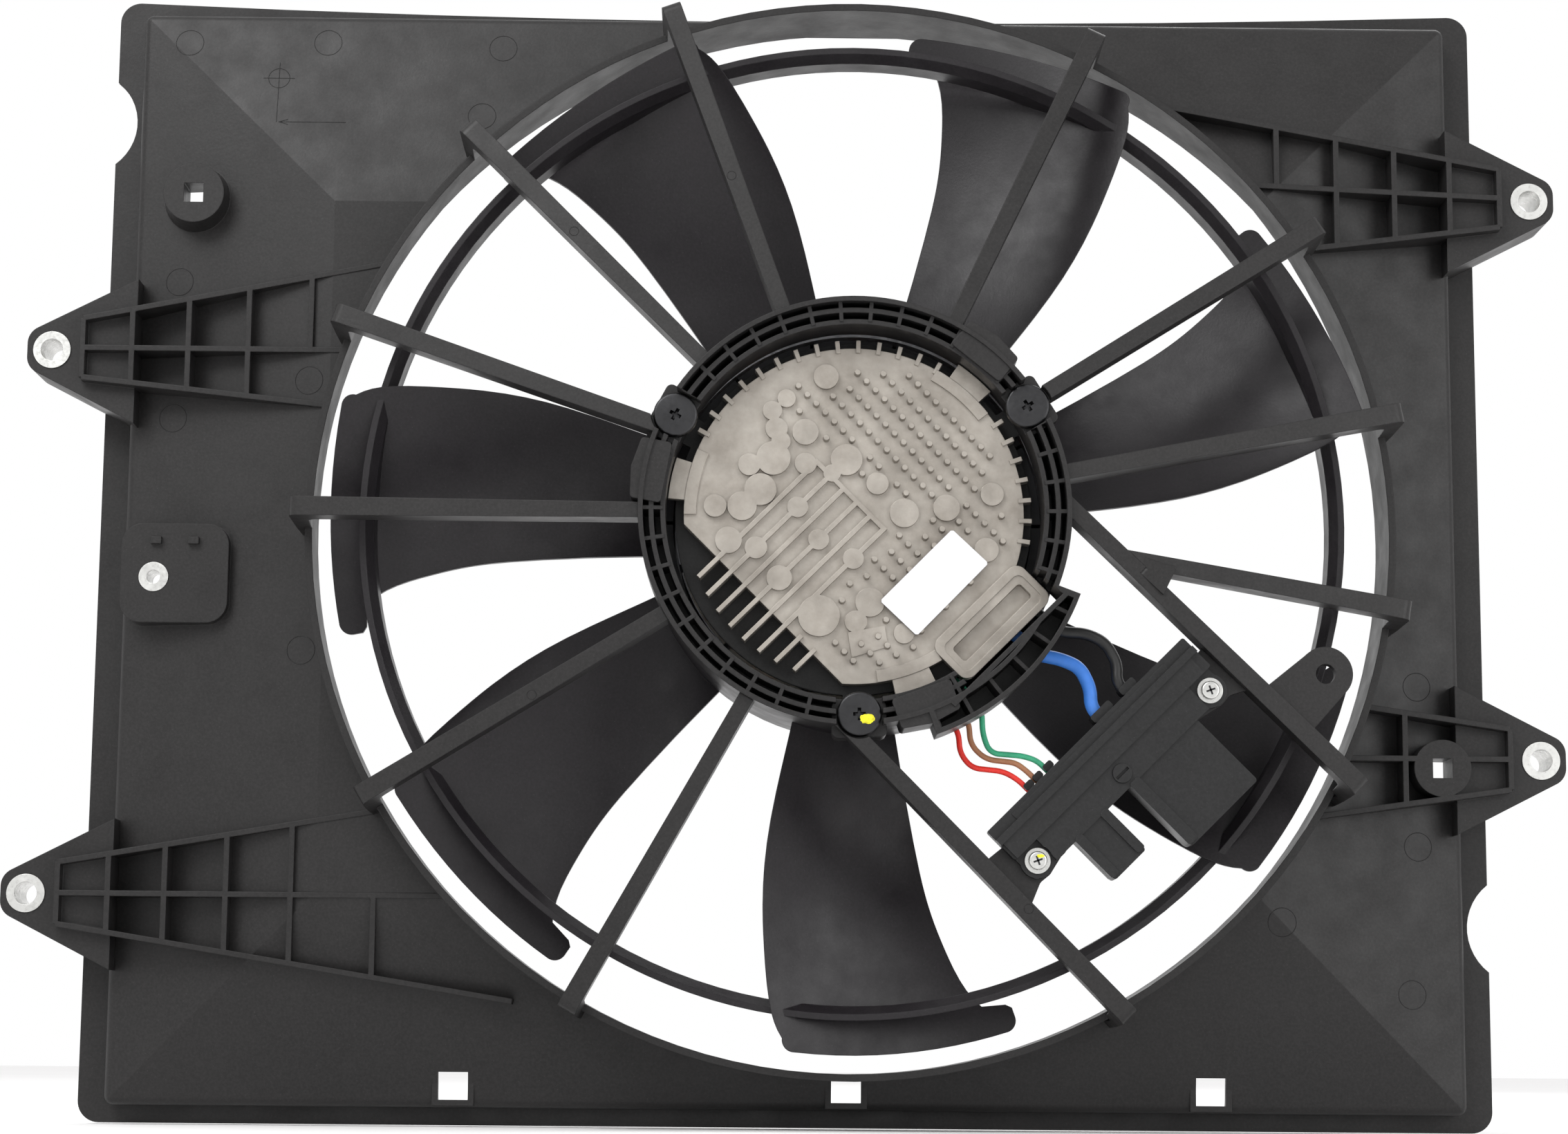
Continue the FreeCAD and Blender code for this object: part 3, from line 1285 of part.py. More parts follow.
def cover_fins():
    """Fins round the edge, fins that overhang the cut-off side, and the ribs that carry them on."""
    edge = float(cover_radius)
    thick = float(size("fin_thickness"))
    rise = float(cover_top + size("fin_rise"))
    wall_inside = float(seal_width) - 1
    first, pitch_angle, low_count, high_count = EDGE_FIN_ANGLES
    fins = []
    for count in range(low_count, high_count + 1):
        angle = first + pitch_angle * count
        if min(abs(angle - lug) for lug in LUG_ANGLES) > LUG_HALF_ANGLE + 3:
            fin = rib((edge - 2, 0), (edge + size("fin_reach"), 0), thick, cover_base + 2, cover_top + 1)
            fins.append(turn_about_axis(fin, angle))
    for index in range(8):
        q = fin_line(index)
        reach = math.sqrt((edge - 1) ** 2 - q ** 2)
        fins.append(box_at(cover_chord - wall_inside, reach, q - thick / 2, q + thick / 2, cover_base + 2, rise - 1))
    for index in range(FIN_RIBS):
        q = fin_line(index)
        fins.append(box_at(FIN_FIELD[0], cover_chord - 1, q - 1, q + 1, cover_top - 1, rise - 1))
    ends = (fin_line(0) - 1, fin_line(FIN_RIBS - 1) + 1)
    fins.append(box_at(FIN_FIELD[0] - 1, FIN_FIELD[0] + 1, *ends, cover_top - 1, rise - 1))
    return fins


def cover_islands():
    """The flat raised islands over tall components, and the round bosses on the ribs."""
    high = cover_top + size("island_rise")
    shapes = [bar(radius, cover_top - 1, high, x, z) for x, z, radius in ISLANDS]
    for p, index, radius in RIB_BOSSES:
        shapes.append(bar(radius, cover_top - 1, high, *slanted(p, fin_line(index))))
    return shapes


def cover_pins(taken):
    """The staggered cooling pins, left out where an island, the ribs, a lug or the port stands."""
    pitch = float(size("pin_pitch"))
    radius = float(size("pin_radius"))
    limit = float(cover_radius) - 7
    pins = []
    for row in range(-14, 15):
        for column in range(-26, 27):
            q = pitch * (column - 0.5 * (row % 2)) + 0.9
            p = pitch * 1.36 * row
            x, z = slanted(p, q)
            in_field = p > FIN_FIELD[0] - 4 and q < fin_line(FIN_RIBS) - 3
            in_port = q > 54 and PORT_SPAN[0] - 5 < p < PORT_SPAN[1] + 4
            if math.hypot(x, z) > limit or in_field or in_port or p > cover_chord - 6:
                continue
            if min(math.hypot(x - a, z - b) - c for a, b, c in taken) < radius + 0.6:
                continue
            pins.append(Part.makeCone(radius, radius * 0.8, float(size("pin_rise")) + 0.5,
                                      at(x, z, float(cover_top) - 0.5), UP))
    return pins


def cover_shape():
    """The whole cover: a shell with its port frame, lugs, fins, islands and pins."""
    shell = cover_profile(0, cover_base + seal_thickness, cover_top)
    shell = shell.cut(cover_profile(float(seal_width), cover_base, cover_top - cover_wall))
    parts = []
    for angle in LUG_ANGLES:
        parts.append(arc_band(cover_radius - 5, cover_radius, angle, BAND_HALF_ANGLE, cover_top - 1, cover_top + 1.2))
        parts.append(arc_band(cover_radius - 4, ring_inner - 0.5, angle, LUG_HALF_ANGLE, cover_top - 3,
                              cover_top + 0.8))
    port_top = cover_top + size("port_rise")
    far = float(ring_outer_radius - size("port_pocket_gap") - size("port_clearance"))
    near = far - float(size("port_depth_across"))
    port = box_at(*PORT_SPAN, near, far, board_base + size("board_thickness") + 0.6, port_top, 4.5)
    wall = float(size("port_wall"))
    slot = box_at(PORT_SPAN[0] + wall, PORT_SPAN[1] - wall, near + wall + 1.5, far - wall - 1, port_top -
                  size("port_depth"), port_top + 1, 1.5)
    step = box_at(PORT_SPAN[0] + wall / 2, PORT_SPAN[1] - wall / 2, near + wall / 2 + 1, far - wall / 2,
                  port_top - 0.8, port_top + 1, 3)
    parts.append(port)
    bumps = cover_fins() + cover_islands() + cover_pins(ISLANDS)
    return shell.multiFuse(parts + bumps).cut(Part.makeCompound([slot, step]))


seal = cover_profile(0, cover_base, cover_base + seal_thickness)
seal = seal.cut(cover_profile(float(seal_width), cover_base - 1, cover_base + seal_thickness + 1))
node(feature("cover_seal", seal), "cover_seal")
board_top = board_base + size("board_thickness")
board = bar(board_radius, board_base, board_top)
board = board.cut(box_at(cover_chord - float(seal_width) - 1.5, 200, -100, 100, board_base - 1, board_top + 1))
node(feature("circuit_board", board), "circuit_board")
node(feature("controller_cover", cover_shape()), "controller_cover")

# Connector: brackets from the two nearest struts carry a housing with two plug sockets

connector_near = ring_outer_radius + size("connector_gap")
connector_far = connector_near + size("connector_width")
connector_base, connector_top = size("connector_base"), size("connector_top")
bracket_top = size("bracket_top")
bracket_low = bracket_top - size("bracket_thickness")
SCREW_PLACES = ((-51.9, 22.9), (46.5, 22.4))
BRIDGE_ENDS = (-46.0, 41.0)


connector_middle = (strut_p(6, float(connector_far)) + strut_p(7, float(connector_far))) / 2 + 1.4


def spot(p, q):
    """A place from the connector's middle line and its near side."""
    return slanted(connector_middle + p, float(connector_near) + q)


def connector_block(p_low, p_high, q_low, q_high, low, high, rounds=0):
    """A block in the connector's own directions."""
    near = float(connector_near)
    return box_at(connector_middle + p_low, connector_middle + p_high, near + q_low, near + q_high, low, high, rounds)


def bracket_shape(strut_index, screw_place, inner_end):
    """The plate that carries one end of the connector, from the strut's side to round the screw."""
    p, q = screw_place
    side = 1 if p > 0 else -1
    edge = strut_p(strut_index, float(connector_near) + q) - connector_middle + side * 2
    corners = [(inner_end, q - 12), (edge, q - 15), (edge, q + 13), (p + side * 5, q + 7), (p, q + 7.5),
               (inner_end, q + 5)]
    body = plate([spot(*corner) for corner in corners], [0, 0, 0, 4, 4, 0], bracket_low, bracket_top)
    body = body.cut(bar(size("connector_screw_shank"), bracket_low - 1, bracket_top + 1, *spot(p, q)))
    return largest(body.cut(Part.makeCompound([strut_shapes[strut_index]])))


BRACKETS = (("connector_bracket_right", 7, 0, -40.0), ("connector_bracket_lower", 6, 1, 36.0))
for name, strut_index, which, inner_end in BRACKETS:
    node(feature(name, bracket_shape(strut_index, SCREW_PLACES[which], inner_end)), name)


def connector_shape():
    """The housing: a long bar with ridges, a bridge behind it, and two plug shells open at their far ends."""
    half = float(size("connector_length")) / 2
    width = float(size("connector_width"))
    wall_c = float(size("connector_wall"))
    top_c, base_c = float(connector_top), float(connector_base)
    low_c = float(bracket_top)
    body = [connector_block(-half - 3, half - 3, 0, 16, low_c, top_c - 1, 1.0),
            connector_block(-half - 3, half - 3, 5, 8, low_c, top_c + 1.5),
            connector_block(-half + 1, half - 4, 8, 16, low_c, top_c + 0.5),
            connector_block(BRIDGE_ENDS[0], BRIDGE_ENDS[1], 2, width, low_c, top_c - 0.5),
            connector_block(BRIDGE_ENDS[0] + 8, BRIDGE_ENDS[1] - 8, 2, width, base_c, low_c + 1)]
    p, q = SCREW_PLACES[0]
    ears = [bar(7.0, low_c, low_c + 3, *spot(*place_of)) for place_of in SCREW_PLACES]
    ears += [connector_block(p - 6, p + 12, 10, q + 5, low_c, low_c + 3, 2),
             connector_block(SCREW_PLACES[1][0] - 12, SCREW_PLACES[1][0] + 6, 10, q + 5, low_c, low_c + 3, 2)]
    power = float(size("power_shell_width"))
    power_end = width + float(size("power_shell_reach"))
    signal = float(size("signal_shell_width"))
    signal_end = width + float(size("signal_shell_reach"))
    shells = [connector_block(-39.5, -39.5 + power, width - 1, power_end, base_c - 2, top_c - 1.5, 1.5),
              connector_block(-39.5 + power - 4.5, -39.5 + power + 0.5, width - 1, power_end - 1, base_c, top_c + 0.3, 1.2),
              connector_block(12.5, 12.5 + signal, width - 1, signal_end, base_c, top_c - 1.5, 1.2),
              connector_block(12.0, 16.0, width - 1, signal_end - 1, base_c + 2, top_c - 0.2, 1.2),
              connector_block(26.5, 30.5, width - 1, signal_end - 1, base_c + 2, top_c - 0.2, 1.2)]
    seats = [connector_block(-20.0, -9.5, -3.5, 0, 78, 87, 1), connector_block(-33.5, -25.5, -3.5, 0, 78, 87, 1)]
    for p in (16.0, 22.0, 27.0):
        seats.append(connector_block(p - 2.2, p + 2.2, -3.0, 0, 79.5, 85, 1))
    seats.append(connector_block(-35, 30, -0.0, 6, 78, low_c + 1))
    caves = [connector_block(-39.5 + wall_c, -39.5 + power - wall_c - 3, width + 4, power_end + 1, base_c, top_c - 3.5, 1),
             connector_block(12.5 + wall_c, 12.5 + signal - wall_c, width + 4, signal_end + 1, base_c + 2, top_c - 3.5, 1)]
    caves += [bar(size("connector_screw_shank"), 60, 100, *spot(*place_of)) for place_of in SCREW_PLACES]
    caves += [bar(size("connector_screw_head") + 0.8, low_c + 3, 100, *spot(*place_of)) for place_of in SCREW_PLACES]
    caves.append(bar(size("plug_radius"), top_c - 4, 100, *spot(-2.3, 21.5)))
    body = body[0].multiFuse(body[1:] + ears + shells + seats)
    return body.cut(Part.makeCompound(caves))


connector_raw = connector_shape()


def lead_path(points):
    """A route of straight runs with an arc in every bend, as wide as the shorter run allows."""
    edges = []
    last = points[0]
    for before, corner, after in zip(points, points[1:], points[2:]):
        back, ahead = before - corner, after - corner
        reach = 0.45 * min(back.Length, ahead.Length)
        back, ahead = back.normalize(), ahead.normalize()
        half = back.getAngle(ahead) / 2
        radius = reach * math.tan(half)
        middle = (back + ahead).normalize() * (radius / math.sin(half) - radius)
        edges.append(Part.LineSegment(last, corner + back * reach).toShape())
        edges.append(Part.Arc(corner + back * reach, corner + middle, corner + ahead * reach).toShape())
        last = corner + ahead * reach
    edges.append(Part.LineSegment(last, points[-1]).toShape())
    return Part.Wire(edges)


# Each lead: its radius, where it leaves the motor base, its bends as a place along the slanted
# direction and a share of the way from the ring to the connector, and where it goes in
LEADS = {
    "wire_blue": ("power_lead_radius", -13.5, ((-19.5, 0.313), (-22.4, 0.505), (-19.0, 0.721)), -14.8),
    "wire_black": ("ground_lead_radius", -26.5, ((-34.5, 0.313), (-37.0, 0.505), (-34.0, 0.733)), -29.5),
    "wire_green": ("signal_lead_radius", 17.0, ((25.0, 0.3), (28.5, 0.481), (20.0, 0.721)), 16.0),
    "wire_brown": ("signal_lead_radius", 24.5, ((31.5, 0.288), (31.5, 0.493), (24.0, 0.721)), 22.0),
    "wire_red": ("signal_lead_radius", 30.5, ((37.0, 0.276), (38.0, 0.457), (30.0, 0.697)), 27.0),
}
lead_height, entry_height = float(size("lead_height")), float(size("lead_entry_height"))
lead_shapes = {}
for name, (radius_name, start_p, bends, end_p) in LEADS.items():
    ring_q = float(ring_outer_radius)
    gap = float(size("connector_gap"))
    inside = abs(start_p) - float(size(radius_name))
    start_q = math.sqrt(float(base_radius) ** 2 - inside ** 2) + 0.3
    route = [at(*slanted(start_p, start_q), lead_height), at(*slanted(start_p, ring_q + 4.0), lead_height)]
    for number, (p, share) in enumerate(bends, start=1):
        climb = (entry_height - lead_height) * number / (len(bends) + 1)
        route.append(at(*slanted(p, ring_q + share * gap), lead_height + climb))
    end_q = float(connector_near)
    route.append(at(*slanted(connector_middle + 1.4 + end_p, end_q - 6.0), entry_height))
    route.append(at(*slanted(connector_middle + 1.4 + end_p, end_q + 3.0), entry_height))
    spine = lead_path(route)
    circle = Part.Wire(Part.makeCircle(float(size(radius_name)), route[0], route[1] - route[0]))
    lead_shapes[name] = spine.makePipeShell([circle], True, True)
    print("%-12s %.0f mm along its middle" % (name, spine.Length))
    node(feature(name, lead_shapes[name]), name)
lead_bundle = Part.makeCompound(list(lead_shapes.values()))


def grommet_shape():
    """The rubber grommet that grips the motor base's edge where the leads come out."""
    depth = float(size("grommet_depth"))
    low, high = float(hub_rim) + 1.0, float(ring_base) - 0.4
    outer = float(base_radius) + depth
    body = bar(outer, low, high).cut(bar(cover_radius + 0.6, low - 1, high + 1))
    rays = [polar(outer * 1.5, angle, 0) for angle in (-72.0, -48.0, -24.0)]
    body = body.common(plate([(0, 0)] + [across(ray) for ray in rays], 0, low - 1, high + 1))
    return body


grommet = grommet_shape().cut(Part.makeCompound([bar(base_radius, base_plate, base_plate + base_thickness)]))
node(feature("wire_grommet", largest(grommet.cut(lead_bundle))), "wire_grommet")


def connector_screw(p, q):
    """One screw with its washer, seated on the housing's ear."""
    seat = float(bracket_top) + 3
    head = float(size("connector_screw_head"))
    x, z = spot(p, q)
    washer = bar(head, seat, seat + 1, x, z)
    crown = bar(head * 0.72, seat + 1, seat + 3.2, x, z)
    crown = crown.makeFillet(0.9, [edge for edge in crown.Edges if edge.BoundBox.YMin < -seat - 3.1
                                   and edge.BoundBox.YLength < 0.01])
    shank = bar(size("connector_screw_shank"), bracket_low - 3, seat + 1, x, z)
    return washer.multiFuse([crown, shank])


node(feature("connector_screws", Part.makeCompound([connector_screw(*place_of) for place_of in SCREW_PLACES])),
     "connector_screws")


def plug_shape():
    """The slotted round vent plug beside the larger shell."""
    x, z = spot(-2.3, 21.5)
    low, high = float(connector_top) - 4, float(connector_top) + 0.6
    head = bar(size("plug_radius"), low, high, x, z)
    a, b = spot(-2.3 - 3.2, 21.5), spot(-2.3 + 3.2, 21.5)
    return head.cut(rib(a, b, 1.2, high - 1.2, high + 1))


node(feature("connector_plug", plug_shape()), "connector_plug")


def terminals():
    """The two broad power blades in the larger shell, and the three pins in the smaller one."""
    width = float(size("connector_width"))
    blades_low = float(connector_base) + 5
    power = [connector_block(p - 3.2, p + 3.2, width + 2, width + 24, blades_low, blades_low + 1.2)
             for p in (-29.0, -14.0)]
    pins_low = float(connector_base) + 4
    pins = [connector_block(p - 0.7, p + 0.7, width + 2, width + 15, pins_low, pins_low + 1.4)
            for p in (17.5, 21.5, 25.5)]
    return power, pins


power_blades, signal_pins = terminals()
in_housing = Part.makeCompound(power_blades + signal_pins + [lead_bundle])
node(feature("connector_housing", largest(connector_raw.cut(in_housing))), "connector_housing")
node(feature("power_terminals", Part.makeCompound(power_blades)), "power_terminals")
node(feature("signal_pins", Part.makeCompound(signal_pins)), "signal_pins")
doc.recompute()

# Every object has to be sound before anything is written
for thing in doc.Objects:
    if "Invalid" in thing.State or "Error" in thing.State:
        raise RuntimeError("%s did not build: %s" % (thing.Label, thing.State))
for thing in NODES:
    if thing.Shape.isNull() or not thing.Shape.isValid() or not thing.Shape.Solids:
        raise RuntimeError("%s has no sound solid" % thing.Label)

os.makedirs("parts", exist_ok=True)
for thing in NODES:
    thing.Shape.exportStep(os.path.join("parts", thing.Label + ".step"))
    print("%-26s %3d solids %10.0f mm3" % (thing.Label, len(thing.Shape.Solids), thing.Shape.Volume))
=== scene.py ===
"""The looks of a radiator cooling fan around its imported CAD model."""
import json
import math
import random

import bmesh
import bpy
from mathutils import Matrix, Vector


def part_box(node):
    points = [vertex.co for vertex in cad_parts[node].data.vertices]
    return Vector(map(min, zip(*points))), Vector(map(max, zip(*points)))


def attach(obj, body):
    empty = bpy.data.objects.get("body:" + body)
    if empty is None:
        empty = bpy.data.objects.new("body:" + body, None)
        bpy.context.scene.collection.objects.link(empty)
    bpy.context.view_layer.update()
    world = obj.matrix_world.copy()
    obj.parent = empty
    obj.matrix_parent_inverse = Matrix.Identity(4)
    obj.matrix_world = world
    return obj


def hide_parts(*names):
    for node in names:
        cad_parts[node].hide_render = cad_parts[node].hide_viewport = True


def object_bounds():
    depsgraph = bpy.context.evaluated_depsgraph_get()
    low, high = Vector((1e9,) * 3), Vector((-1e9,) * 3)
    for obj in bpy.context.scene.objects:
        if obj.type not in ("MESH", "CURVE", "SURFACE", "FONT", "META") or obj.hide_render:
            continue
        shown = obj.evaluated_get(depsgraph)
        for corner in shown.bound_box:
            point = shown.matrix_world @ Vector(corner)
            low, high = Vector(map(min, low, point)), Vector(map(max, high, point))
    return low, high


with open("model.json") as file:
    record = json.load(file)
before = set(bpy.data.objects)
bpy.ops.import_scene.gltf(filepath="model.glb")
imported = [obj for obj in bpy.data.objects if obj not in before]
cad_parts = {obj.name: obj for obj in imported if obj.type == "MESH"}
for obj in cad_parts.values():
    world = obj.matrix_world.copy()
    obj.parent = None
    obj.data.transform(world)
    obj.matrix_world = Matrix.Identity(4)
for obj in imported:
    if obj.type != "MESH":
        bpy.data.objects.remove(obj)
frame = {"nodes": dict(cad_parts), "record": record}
NODES = frame["nodes"]
CAD_LOW, CAD_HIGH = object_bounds()
MM = 0.001
random.seed(7)

# Camera, solved from the photograph: place and reach in metres, angles in radians, lens and sensor in mm
CAMERA_PLACE = Vector((-0.03869, -1.39134, -0.21933))
CAMERA_AZIMUTH = 0.00797
CAMERA_TILT = 0.15028
CAMERA_ROLL = 0.0085
CAMERA_REACH = 20
LENS = 74.6
SENSOR = 36.0

# Lamps: name, place and size in metres, and power in watts
LAMPS = (("key_lamp", (-0.9, -1.3, 1.3), 1.1, 26),
         ("fill_lamp", (1.5, -1.5, 0.3), 1.2, 12),
         ("back_lamp", (0.6, 1.2, 1.2), 1.2, 10))
WHITE = (1, 1, 1, 1)
STUDIO_TINT = (1.0, 0.99, 0.99, 1)
STUDIO_STRENGTH = 0.9

# Floor: its reach each way and the gap between it and the shroud, in metres
FLOOR_REACH = 6.0
FLOOR_GAP = 0.0005

# Sockets of a colour mix, by number, since its names repeat
MIX_FACTOR, MIX_FIRST, MIX_SECOND = 0, 6, 7
MIX_RESULT = 2

# Materials: how fine the skins are, as scales of noise per metre, and the colour of dust
MOULDED_GRAIN = 900.0
SCRATCHES = 700.0
SOFT_GRAIN = 800.0
DUST = (0.22, 0.21, 0.21)

# On the object, places are in mm across and up from the fan's axis, sizes in mm, angles in degrees
RAY_START = -300.0
TOWARDS_RADIATOR = Vector((0, 1, 0))
CREASE_ANGLE = 32.0
LINE_STEPS = 10

# Ejector marks on the panel and on the struts
PANEL_MARKS = ((-289.3, 217.7), (-229.0, 218.4), (-152.4, 216.6), (-160.5, 184.0), (-289.7, 110.2),
               (-290.5, 50.3), (-231.0, -50.8), (-231.0, 65.0), (181.2, -161.2), (237.1, -190.6),
               (240.9, -128.6), (241.7, -60.7))
PANEL_RING = 6.0
PANEL_RING_STEPS = 28
PANEL_BEAD = 0.16
STRUT_MARKS = ((-115.8, 116.4), (-51.3, 140.2), (-129.3, -75.5), (70.6, -159.2))
STRUT_RING = 1.9
STRUT_RING_STEPS = 16
STRUT_BEAD = 0.14

# Datum mark: a ring with a cross through it, and an arrow that points left to the cross's foot
DATUM = (-249.4, 201.1)
DATUM_RING = 4.6
DATUM_SIDE = 6.8
DATUM_TOP = 7.5
DATUM_FOOT = 20.8
ARROW_TIP = 1.0
ARROW_END = 30.0
BARB_END = 5.0
BARB_RISE = 1.2
BARB_STEPS = 3

# Motor screws: distance from the axis and angle in degrees, the height of their seat, and their heads
MOTOR_SCREWS = ((82.6, 32.0), (82.6, 152.0), (82.6, 271.6))
SCREW_SEAT = 94.0
HEAD_RADIUS = 9.0
HEAD_HEIGHT = 4.0
HEAD_SIDES = 48
DOME = 1.1
DOME_STEPS = 4
CROSS_LENGTH = 6.8
CROSS_WIDTH = 1.768
CROSS_HEIGHT = 4.4
CROSS_LIFT = 1.8
CROSS_TAPER_ALONG = 0.45
CROSS_TAPER_ACROSS = 0.6

# Connector screws, and the small dark crosses laid on them as painted shade for their cross recesses,
# turned by an angle in radians
CONNECTOR_SCREWS = ((74.31, -139.94), (144.25, -70.71))
SHADE_CROSS_TURN = 0.35
SHADE_CROSS_REACH = 1.9
SHADE_CROSS_HALF_WIDTH = 0.38
SHADE_CROSS_DEPTH = 0.4
SHADE_CROSS_RISE = 0.04

# Dabs of paint: name, place across and up, height over the radiator side, length and width
DABS = (("motor_dab", 5.4, -84.6, 98.0, 2.9, 2.0),
        ("connector_dab", 75.2, -138.2, 90.1, 1.7, 0.8))
DAB_HALF_THICKNESS = 0.22
DAB_RAGGEDNESS = 0.16
DAB_CREASE_ANGLE = 80.0

# Ramp on the cover: its corners, their rise over the cover's floor, and how deep its foot is sunk
RAMP_CORNERS = ((-2.3, -48.6), (12.6, -45.6), (14.3, -54.0), (-0.6, -58.6))
RAMP_RISES = (2.6, 2.6, 0.6, 0.6)
RAMP_SINK = 0.5
COVER_FLOOR = 86.0

# Sticker: its corners and their rounding, the height of its face over the cover's pins, its thickness
STICKER_CORNERS = ((39.8, -6.1), (54.6, -19.9), (25.6, -49.8), (10.7, -35.7))
STICKER_ROUNDING = 0.8
ROUNDING_SHARES = (0.0, 0.35, 0.65, 1.0)
STICKER_FACE = 0.22
STICKER_THICKNESS = 0.2


def place(name, data):
    """A new object in the scene."""
    thing = bpy.data.objects.new(name, data)
    bpy.context.scene.collection.objects.link(thing)
    return thing


def make_camera():
    """The photograph's own view: slightly below the middle, looking up at the fan."""
    ahead = Vector((math.sin(CAMERA_AZIMUTH) * math.cos(CAMERA_TILT),
                    math.cos(CAMERA_AZIMUTH) * math.cos(CAMERA_TILT), math.sin(CAMERA_TILT)))
    level = Vector((math.cos(CAMERA_AZIMUTH), -math.sin(CAMERA_AZIMUTH), 0))
    up = level.cross(ahead)
    right = level * math.cos(CAMERA_ROLL) + up * math.sin(CAMERA_ROLL)
    up = right.cross(ahead)
    data = bpy.data.cameras.new("camera")
    data.lens = LENS
    data.sensor_width = SENSOR
    data.clip_end = CAMERA_REACH
    camera = place("camera", data)
    turn = Matrix((right, up, -ahead)).transposed()
    camera.matrix_world = Matrix.Translation(CAMERA_PLACE) @ turn.to_4x4()
    bpy.context.scene.camera = camera


def lamp(name, spot, size, power):
    """A soft square lamp that looks at the origin, in the middle of the fan."""
    data = bpy.data.lights.new(name, "AREA")
    data.size = size
    data.energy = power
    thing = place(name, data)
    thing.location = spot
    thing.rotation_mode = "QUATERNION"
    thing.rotation_quaternion = (-Vector(spot)).to_track_quat("-Z", "Y")


def background(tree, tint, strength):
    """A world shader of one tint."""
    node = tree.nodes.new("ShaderNodeBackground")
    node.inputs["Color"].default_value = tint
    node.inputs["Strength"].default_value = strength
    return node.outputs[0]


def greater(tree, first, second):
    """The greater of two values."""
    node = tree.nodes.new("ShaderNodeMath")
    node.operation = "MAXIMUM"
    tree.links.new(first, node.inputs[0])
    tree.links.new(second, node.inputs[1])
    return node.outputs[0]


def make_light():
    """Studio light from above and both sides, and a world that looks white behind the object."""
    for name, spot, size, power in LAMPS:
        lamp(name, spot, size, power)
    world = bpy.data.worlds.new("studio")
    bpy.context.scene.world = world
    world.use_nodes = True
    tree = world.node_tree
    tree.nodes.clear()
    rays = tree.nodes.new("ShaderNodeLightPath").outputs
    mirrored = greater(tree, rays["Is Glossy Ray"], rays["Is Transmission Ray"])
    looks_white = greater(tree, rays["Is Camera Ray"], mirrored)
    mix = tree.nodes.new("ShaderNodeMixShader")
    tree.links.new(looks_white, mix.inputs[0])
    tree.links.new(background(tree, STUDIO_TINT, STUDIO_STRENGTH), mix.inputs[1])
    tree.links.new(background(tree, WHITE, 1.0), mix.inputs[2])
    out = tree.nodes.new("ShaderNodeOutputWorld")
    tree.links.new(mix.outputs[0], out.inputs[0])


class Finish:
    """A procedural material: a tree of nodes around one principled shader."""

    def __init__(self, name, roughness, metallic=0.0, specular=0.5):
        self.material = bpy.data.materials.new(name)
        self.material.use_nodes = True
        self.tree = self.material.node_tree
        self.shader = self.tree.nodes["Principled BSDF"]
        self.shader.inputs["Roughness"].default_value = roughness
        self.shader.inputs["Metallic"].default_value = metallic
        self.shader.inputs["Specular IOR Level"].default_value = specular
        self.place = self.tree.nodes.new("ShaderNodeTexCoord").outputs["Object"]

    def add(self, kind, **inputs):
        """A node with its inputs set by value, or linked when the value is a socket."""
        node = self.tree.nodes.new(kind)
        for name, value in inputs.items():
            socket = node.inputs[name.replace("_", " ")]
            if isinstance(value, bpy.types.NodeSocket):
                self.tree.links.new(value, socket)
            else:
                socket.default_value = value
        return node

    def noise(self, scale, detail=3.0, roughness=0.55):
        """Cloudy noise over the object's own place, from 0 to 1."""
        node = self.add("ShaderNodeTexNoise", Vector=self.place, Scale=scale, Detail=detail,
                        Roughness=roughness)
        return node.outputs["Fac"]

    def specks(self, scale):
        """Distance from scattered points, for small specks."""
        return self.add("ShaderNodeTexVoronoi", Vector=self.place, Scale=scale).outputs["Distance"]

    def ramp(self, factor, stops):
        """A colour ramp from (place, colour) stops."""
        node = self.add("ShaderNodeValToRGB", Fac=factor)
        while len(node.color_ramp.elements) < len(stops):
            node.color_ramp.elements.new(0.5)
        for element, (position, colour) in zip(node.color_ramp.elements, stops):
            element.position = position
            element.color = (*colour, 1)
        return node.outputs["Color"]

    def level(self, factor, low, high, start=0.0, end=1.0):
        """A value spread from low to high as the factor goes from start to end."""
        node = self.add("ShaderNodeMapRange", Value=factor, From_Min=start, From_Max=end, To_Min=low,
                        To_Max=high)
        return node.outputs["Result"]

    def blend(self, factor, first, second):
        """A colour from the tree, mixed by a factor towards a plain one."""
        node = self.tree.nodes.new("ShaderNodeMix")
        node.data_type = "RGBA"
        self.tree.links.new(factor, node.inputs[MIX_FACTOR])
        self.tree.links.new(first, node.inputs[MIX_FIRST])
        node.inputs[MIX_SECOND].default_value = (*second, 1)
        return node.outputs[MIX_RESULT]

    def colour(self, tone):
        """Link the base colour."""
        self.tree.links.new(tone, self.shader.inputs["Base Color"])

    def rough(self, low, high, scale, detail):
        """Roughness that wanders between two values."""
        spread = self.level(self.noise(scale, detail), low, high, start=0.3, end=0.7)
        self.tree.links.new(spread, self.shader.inputs["Roughness"])

    def bump(self, *heights, strength, distance, edge=0.0):
        """Bump from one or more heights, over edges softened by a small radius."""
        normal = None
        if edge:
            normal = self.add("ShaderNodeBevel", Radius=edge).outputs["Normal"]
        for height in heights:
            node = self.add("ShaderNodeBump", Strength=strength, Distance=distance, Height=height)
            if normal is not None:
                self.tree.links.new(normal, node.inputs["Normal"])
            normal = node.outputs["Normal"]
        self.tree.links.new(normal, self.shader.inputs["Normal"])


def shade(colour, share):
    """A colour made lighter or darker."""
    return tuple(share * part for part in colour)


